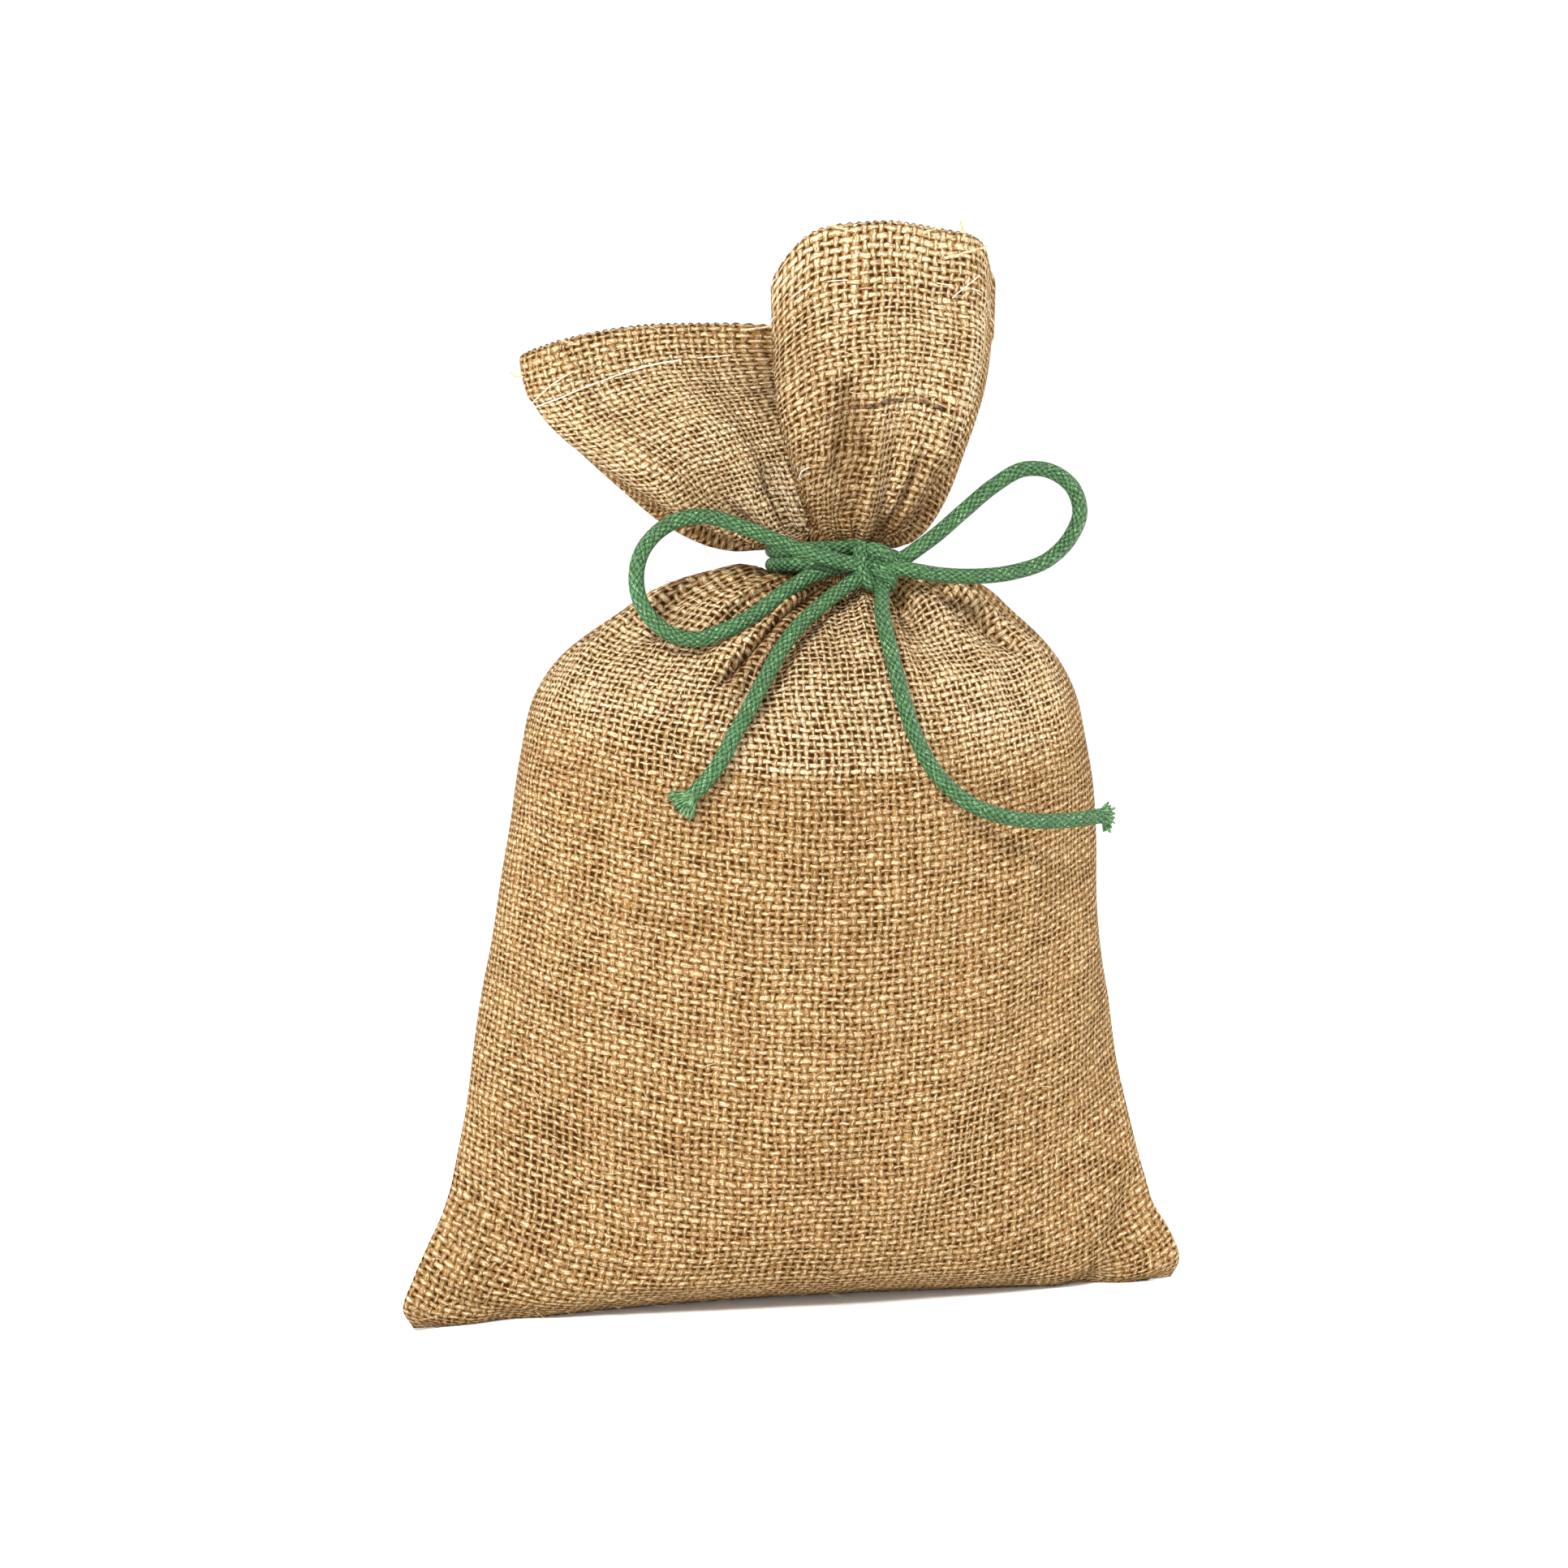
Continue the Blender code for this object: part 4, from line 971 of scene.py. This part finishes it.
def rootPath(inside, points):
    # from inside the knot to the first point of a free stretch
    start = fromKnot(inside)
    way = unit(points[0] - points[1])
    gate = points[0] + way * cordSize["gap"]
    reach = np.linalg.norm(gate - start) / 2
    t = np.linspace(0.0, 1.0, 8)[:, None]
    return start * (1 - t) ** 2 + (gate + way * reach) * 2 * t * (1 - t) + gate * t**2


def freePath(name):
    # a free stretch with its root, or both of a loop's, inside the knot
    points = alongPath(routes[name], 2.0)
    near, far = knotRoots[name]
    parts = [rootPath(near, points), points]
    if far:
        parts.append(rootPath(far, points[::-1])[::-1])
    return alongPath(np.concatenate(parts), cordSize["step"])


def tubePart(path, radius, sides, strands, lay, start=0.0):
    # points, quads and thread counts of a tube; a helix of strands goes each way round it
    path = np.asarray(path, float)
    rings = ringsAlong(path, radius, sides)
    run = lengthsAlong(path) / lay
    around = np.arange(sides + 1) * strands / sides
    corners = np.empty((len(path) - 1, sides, 4, 2))
    for place, (row, column) in enumerate(quadCorners):
        across = around[column:sides + column][None]
        on = run[row:len(path) - 1 + row][:, None] + start
        corners[:, :, place, 0] = across + on
        corners[:, :, place, 1] = across - on
    return rings.reshape(-1, 3), ringFaces(len(rings), sides), corners.reshape(-1, 2)


def tubesObject(name, parts, material):
    # several tubes as one mesh; their open ends are inside the knot, the cloth or a tuft
    points, faces, corners, count = [], [], [], 0
    for ring, quads, threads in parts:
        points.append(ring)
        faces.append(quads + count)
        corners.append(threads)
        count += len(ring)
    points, faces, corners = (np.concatenate(rows) for rows in (points, faces, corners))
    return meshObject(name, points, faces, material, corners)


def cordPart(path, start=0.0):
    size = cordSize
    return tubePart(path, size["thick"] / 2, size["sides"], size["strands"], size["lay"], start)


def wrapPath():
    # the turns round the neck, one above the other, both ends inside the knot
    look = wrapLook
    reachX, reachY = (neck + cordSize["gap"] + cordSize["thick"] / 2 for neck in neckRadii)
    turn = np.linspace(0.0, 2 * math.pi * look["turns"], look["points"])
    angle = math.radians(look["start"]) + turn
    return np.stack([
        neckCentre[0] + reachX * np.cos(angle),
        neckCentre[1] + reachY * np.sin(angle),
        neckCentre[2] + look["pitch"] * (turn / (2 * math.pi) - look["turns"] / 2),
    ], axis=1)


def corePart():
    # a ball in the middle of the knot, seen only between the strands
    rows, columns, share = coreLook["rings"], coreLook["round"], coreLook["share"]
    tilt = np.linspace(0.02, math.pi - 0.02, rows)
    turn = np.arange(columns) * 2 * math.pi / columns
    ball = np.stack([
        np.outer(np.sin(tilt), np.cos(turn)), np.outer(np.sin(tilt), np.sin(turn)),
        np.outer(np.cos(tilt), np.ones(columns)),
    ], -1)[::-1]
    ball = ball * np.array(knotCore) * (share, -share, share) - (0.0, coreLook["back"], 0.0)
    faces = ringFaces(rows, columns)[:, ::-1]
    corners = np.zeros((faces.size, 2)) + np.linspace(0, 9, faces.size)[:, None]
    return fromKnot(ball.reshape(-1, 3)), faces, corners


cords = {}
for name in routes:
    path = freePath(name)
    pieceName = name.replace("_l", "L").replace("_r", "R")
    cords[name] = (tubesObject(pieceName, [cordPart(path)], greenBraid), path)
knotParts = [cordPart(wrapPath())]
for order, (name, route) in enumerate(knotStrands.items()):
    knotParts.append(cordPart(alongPath(fromKnot(route), 0.6), 3.7 * order))
tieKnot = tubesObject("tieKnot", knotParts + [corePart()], greenBraid)
print("cords built", {name: round(lengthOf(path), 1) for name, (_, path) in cords.items()})


headFrom = 236
headGrid = fineCloth(np.arange(headFrom, 305.0), np.arange(0.0, tubeRound))
headNormals = outward(headGrid)


def onCloth(along, up, lift):
    # points some way off the outside of the open head
    column = np.floor(along).astype(int)
    row = np.clip(np.floor(up - headFrom).astype(int), 0, len(headGrid) - 2)
    a, b = (along - column)[:, None], (up - headFrom - row)[:, None]
    here, there = column % len(headGrid[0]), (column + 1) % len(headGrid[0])
    low = headGrid[row, here] * (1 - a) + headGrid[row, there] * a
    high = headGrid[row + 1, here] * (1 - a) + headGrid[row + 1, there] * a
    return low * (1 - b) + high * b + headNormals[row, here] * np.asarray(lift)[:, None]


seamLook = {
    "level": (
        (0, 290), (12, 290.8), (30, 292.6), (60, 295), (84, 296), (97, 295), (112, 293.6),
        (135, 293.5), (200, 295), (300, 295), (400, 290),
    ),
    "stitch": 4.6, "thick": 0.16, "whole": (1.0, 46.0), "seen": 0.5, "over": 0.42, "under": -0.5,
    "sunk": 0.20, "thinned": 0.72,
}
looseColumns = ("along", "up", "toAlong", "toUp", "bow", "thick")
looseEnds = (
    (0.5, 291.0, 17, 296.5, 0.4, 0.13),
    (138, 290.5, 145, 297.0, 0.6, 0.12),
    (90, 249, 97, 251, 0.5, 0.15),
)
darkSlub = {"from": 103, "to": 138, "up": 262.2, "thick": 0.56}


def hemParts():
    # stitches on the outside, some sunk in the weave, and a few ends of the same thread
    look = seamLook
    level = np.array(look["level"], float)
    alongs = np.arange(0.0, tubeRound + 0.4, 0.5)
    number = np.floor(alongs / look["stitch"]).astype(int)
    shown = np.random.default_rng(5).random(number.max() + 1) < look["seen"]
    whole = (alongs > look["whole"][0]) & (alongs < look["whole"][1])
    rise = np.where(whole | shown[number], look["over"], look["under"])
    swing = np.abs(np.sin(math.pi * alongs / look["stitch"])) ** 0.35
    ups = np.interp(alongs, level[:, 0], level[:, 1])
    path = onCloth(alongs, ups, rise * swing - look["sunk"])
    thick = look["thick"] * np.where(whole, 1.0, look["thinned"])
    parts = [tubePart(path, thick, 6, 3, 0.9)]
    for row in looseEnds:
        end = dict(zip(looseColumns, row))
        t = np.linspace(0.0, 1.0, 12)
        along = end["along"] + (end["toAlong"] - end["along"]) * t
        up = end["up"] + (end["toUp"] - end["up"]) * t + end["bow"] * np.sin(math.pi * t)
        parts.append(tubePart(onCloth(along, up, 0.25 + 0.5 * t), end["thick"], 5, 3, 0.9))
    return parts


def slubParts():
    # one uneven dark thread across the lobe that dips into the weave in places
    look = darkSlub
    alongs = np.arange(look["from"], look["to"], 0.4)
    beat = np.sin(math.pi * alongs / threadLook["warpPitch"])
    rise = 0.20 * np.sin(alongs / 4.7 + 0.6) + 0.42 * beat - 0.10
    ups = look["up"] + 0.5 * np.sin(alongs / 6.3) + 0.2 * np.sin(alongs / 1.7)
    swell = 0.75 + 0.35 * np.sin(alongs / 3.1 + 1.0)
    return [tubePart(onCloth(alongs, ups, rise), look["thick"] * swell, 6, 2, 1.1)]


hemSeam = tubesObject("hemSeam", hemParts(), hemThread)
slubThread = tubesObject("slubThread", slubParts(), darkYarn)
print("hem sewn")

tuftLook = {
    "tail_left": {"name": "tuftLeft", "yarns": 46, "length": 6.6, "open": (-48, 34), "curl": 12},
    "tail_right": {"name": "tuftRight", "yarns": 38, "length": 4.3, "open": (-76, 26), "curl": 30},
}
tuftSteps = 7
tuftSpread = 0.108  # how far a yarn goes to the front or the back at each step


def buildTuft(tail, path):
    # a fan of yarns that starts inside the cord's end
    look = tuftLook[tail]
    way = unit(path[-1] - path[-3])
    side = unit(np.cross(way, (0.0, 1.0, 0.0)))
    over = np.cross(side, way)
    rng = np.random.default_rng(11)
    parts = []
    for number in range(look["yarns"]):
        share = (number + 0.5) / look["yarns"] * 2 - 1
        share = np.clip(share + rng.normal(0, 0.12), -1, 1)
        layer = rng.uniform(-1, 1)
        opening = math.radians(np.interp(share, (-1, 1), look["open"])) * (1 - 0.25 * abs(layer))
        curl = math.radians(look["curl"]) * np.sign(opening) * rng.uniform(0.2, 1.2)
        length = look["length"] * rng.uniform(0.86, 1.06)
        foot = path[-1] - way * 2.4 + side * share * 1.35
        foot = foot + over * layer * 1.2 * math.sqrt(1 - 0.8 * share**2)
        points, at = [foot], foot + way * 2.0
        for step in range(tuftSteps):
            points.append(at)
            turn = opening * min(1.0, 0.35 + step / 3.0) + curl * step / tuftSteps
            at = at + (way * math.cos(turn) + side * math.sin(turn)) * length / tuftSteps
            at = at + over * layer * tuftSpread
        thin = np.append(np.full(tuftSteps, 1.0), 0.7)
        radius = rng.uniform(0.30, 0.42)
        parts.append(tubePart(np.array(points), radius * thin, 5, 2, 1.6, 3.0 * number))
    return tubesObject(look["name"], parts, greenYarn)


tufts = {tail: buildTuft(tail, cords[tail][1]) for tail in tuftLook}
print("cord ends frayed")

frayColumns = ("along", "up", "toAlong", "rise", "out", "thick")
frays = (
    (135, 299, 146, 5.0, 1.5, 0.40),
    (141, 303, 138, 4.2, 2.0, 0.34),
    (128, 303, 134, 2.4, 1.2, 0.30),
    (112, 303, 106, 2.2, 1.0, 0.28),
    (62, 303, 70, 2.6, 1.2, 0.30),
    (20, 303, 14, 2.4, 1.2, 0.28),
    (3, 299, -3, 2.0, 3.0, 0.34),
    (230, 303, 240, 3.0, 1.4, 0.32),
    (330, 303, 322, 2.8, 1.2, 0.30),
)


def buildFrays():
    # loose ends of the cloth's own threads at the mouth
    alongs = np.arange(0.0, tubeRound, 1.0)
    ups = np.linspace(294.0, 304.0, 11)
    grid = fineCloth(ups, alongs)
    normal = outward(grid)
    parts = []
    for number, row in enumerate(frays):
        fray = dict(zip(frayColumns, row))
        t = np.linspace(0.0, 1.0, 9)
        along = fray["along"] + (fray["toAlong"] - fray["along"]) * t
        column = np.round(along).astype(int) % len(alongs)
        level = min(int(fray["up"] - ups[0]), len(ups) - 1)
        base = grid[level, column]
        spread = normal[level, column] * (0.5 + fray["out"] * t**1.5)[:, None]
        lift = np.stack([t * 0, t * 0, fray["rise"] * t**1.2], 1)
        thick = fray["thick"] * (1 - 0.4 * t)
        parts.append(tubePart(base + spread + lift, thick, 5, 2, 1.2, 5.0 * number))
    return tubesObject("mouthFrays", parts, looseYarn)


mouthFrays = buildFrays()


hairLook = {
    "density": 14000.0,  # to the square metre
    "body": 0.0032, "head": 0.0030, "thick": 0.00006,  # lengths and radius, in metres
    "sizes": (0.35, 1.3), "tilt": (0.35, 0.25), "seed": 7,
    "colour": (0.66, 0.48, 0.26, 1.0), "roughness": 0.8,
}


def fibreTree(material):
    # short bent hairs scattered over a surface
    look = hairLook
    tree = bpy.data.node_groups.new("fibres", "GeometryNodeTree")
    tree.interface.new_socket("Geometry", in_out="INPUT", socket_type="NodeSocketGeometry")
    sizes = (("Density", look["density"]), ("Length", look["body"]), ("Thickness", look["thick"]))
    for name, value in sizes:
        socket = tree.interface.new_socket(name, in_out="INPUT", socket_type="NodeSocketFloat")
        socket.default_value = value
    tree.interface.new_socket("Geometry", in_out="OUTPUT", socket_type="NodeSocketGeometry")
    given = tree.nodes.new("NodeGroupInput")
    out = tree.nodes.new("NodeGroupOutput")

    def node(kind, **values):
        made = tree.nodes.new(kind)
        for name, value in values.items():
            made.inputs[name].default_value = value
        return made

    link = tree.links.new
    scatter = node("GeometryNodeDistributePointsOnFaces", Seed=look["seed"])
    link(given.outputs["Geometry"], scatter.inputs["Mesh"])
    link(given.outputs["Density"], scatter.inputs["Density"])
    line = node(
        "GeometryNodeCurveQuadraticBezier", Resolution=4,
        Start=(0, 0, -0.05), Middle=(0.45, 0.1, 0.22), End=(1.0, -0.1, 0.12),
    )
    ring = node("GeometryNodeCurvePrimitiveCircle", Resolution=3)
    link(given.outputs["Thickness"], ring.inputs["Radius"])
    size = tree.nodes.new("GeometryNodeTransform")
    link(line.outputs[0], size.inputs["Geometry"])
    scale = tree.nodes.new("ShaderNodeCombineXYZ")
    for place in range(3):
        link(given.outputs["Length"], scale.inputs[place])
    link(scale.outputs[0], size.inputs["Scale"])
    tube = tree.nodes.new("GeometryNodeCurveToMesh")
    link(size.outputs[0], tube.inputs["Curve"])
    link(ring.outputs[0], tube.inputs["Profile Curve"])
    spin = tree.nodes.new("FunctionNodeRandomValue")
    spin.data_type = "FLOAT_VECTOR"
    tiltX, tiltY = look["tilt"]
    spin.inputs[0].default_value = (-tiltX, -tiltY, 0.0)
    spin.inputs[1].default_value = (tiltX, tiltY, 6.28)
    turned = tree.nodes.new("FunctionNodeRotateRotation")
    turned.rotation_space = "LOCAL"
    link(scatter.outputs["Rotation"], turned.inputs["Rotation"])
    toTurn = tree.nodes.new("FunctionNodeEulerToRotation")
    link(spin.outputs[0], toTurn.inputs[0])
    link(toTurn.outputs[0], turned.inputs["Rotate By"])
    grow = tree.nodes.new("FunctionNodeRandomValue")
    grow.data_type = "FLOAT"
    grow.inputs[2].default_value, grow.inputs[3].default_value = look["sizes"]
    place = tree.nodes.new("GeometryNodeInstanceOnPoints")
    link(scatter.outputs["Points"], place.inputs["Points"])
    link(tube.outputs[0], place.inputs["Instance"])
    link(turned.outputs[0], place.inputs["Rotation"])
    link(grow.outputs[1], place.inputs["Scale"])
    real = tree.nodes.new("GeometryNodeRealizeInstances")
    link(place.outputs[0], real.inputs[0])
    paint = tree.nodes.new("GeometryNodeSetMaterial")
    paint.inputs["Material"].default_value = material
    link(real.outputs[0], paint.inputs["Geometry"])
    link(paint.outputs[0], out.inputs[0])
    return tree


def buildHairs(name, surface, tree, length):
    obj = bpy.data.objects.new(name, surface.data.copy())
    bpy.context.scene.collection.objects.link(obj)
    modifier = obj.modifiers.new("fibres", "NODES")
    modifier.node_group = tree
    sockets = {
        item.name: item.identifier for item in tree.interface.items_tree if item.in_out == "INPUT"
    }
    modifier[sockets["Density"]] = hairLook["density"]
    modifier[sockets["Length"]] = length
    graph = bpy.context.evaluated_depsgraph_get()
    made = bpy.data.meshes.new_from_object(obj.evaluated_get(graph))
    obj.modifiers.clear()
    obj.data = made
    made.name = name
    return obj


hairFibre, _, hairShader = newMaterial("hairFibre")
hairShader.inputs["Base Color"].default_value = hairLook["colour"]
hairShader.inputs["Roughness"].default_value = hairLook["roughness"]
fibres = fibreTree(hairFibre)
bodyHairs = buildHairs("bodyHairs", sackBody, fibres, hairLook["body"])
headHairs = buildHairs("headHairs", sackHead, fibres, hairLook["head"])
print("fibres", len(bodyHairs.data.polygons), len(headHairs.data.polygons))


# name, place, aim, size and power of each lamp, in metres and watts
lampLook = (
    ("key", (-0.72, -1.05, 1.08), (0.0, 0.0, 0.12), 0.30, 30.0),
    ("fill", (-0.6, -0.9, 0.06), (0.0, 0.0, 0.20), 0.6, 7.5),
    ("rimRight", (1.1, 0.1, 0.55), (0.0, 0.0, 0.14), 0.6, 12.0),
    ("rimLeft", (-1.1, 0.3, 0.20), (0.0, 0.0, 0.18), 0.6, 6.0),
)
stageLook = {"reach": 18.0, "floor": (0.98, 0.98, 0.98, 1.0), "roughness": 0.9, "sky": 1.03}


def areaLight(name, place, aim, size, power):
    data = bpy.data.lights.new(name, "AREA")
    data.shape = "DISK"
    data.size = size
    data.energy = power
    return placedObject(name, data, place, aim)


def buildStage():
    look, reach = stageLook, stageLook["reach"]
    mesh = bpy.data.meshes.new("floor")
    corners = [(x * reach, y * reach, 0) for x, y in ((-1, -1), (1, -1), (1, 1), (-1, 1))]
    mesh.from_pydata(corners, [], [(0, 1, 2, 3)])
    material, _, shader = newMaterial("paleFloor")
    shader.inputs["Base Color"].default_value = look["floor"]
    shader.inputs["Roughness"].default_value = look["roughness"]
    mesh.materials.append(material)
    floor = bpy.data.objects.new("floor", mesh)
    bpy.context.scene.collection.objects.link(floor)
    world = bpy.data.worlds.new("studio")
    world.use_nodes = True
    sky = world.node_tree.nodes["Background"].inputs
    sky["Color"].default_value = (1.0, 1.0, 1.0, 1.0)
    sky["Strength"].default_value = look["sky"]
    bpy.context.scene.world = world
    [areaLight(*row) for row in lampLook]


buildStage()
print("stage set")

clothPieces = (sackBody, sackHead, hemSeam, slubThread, mouthFrays, bodyHairs, headHairs)
cordPieces = (tieKnot, *tufts.values(), *(c for c, _ in cords.values()))
for piece in clothPieces + cordPieces:
    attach(piece, "root")
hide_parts("sack")
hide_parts("sack")
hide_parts("tie_knot")
for name, (piece, _) in cords.items():
    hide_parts(name)
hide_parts("tuft_left")
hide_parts("tuft_right")
print("pieces declared")
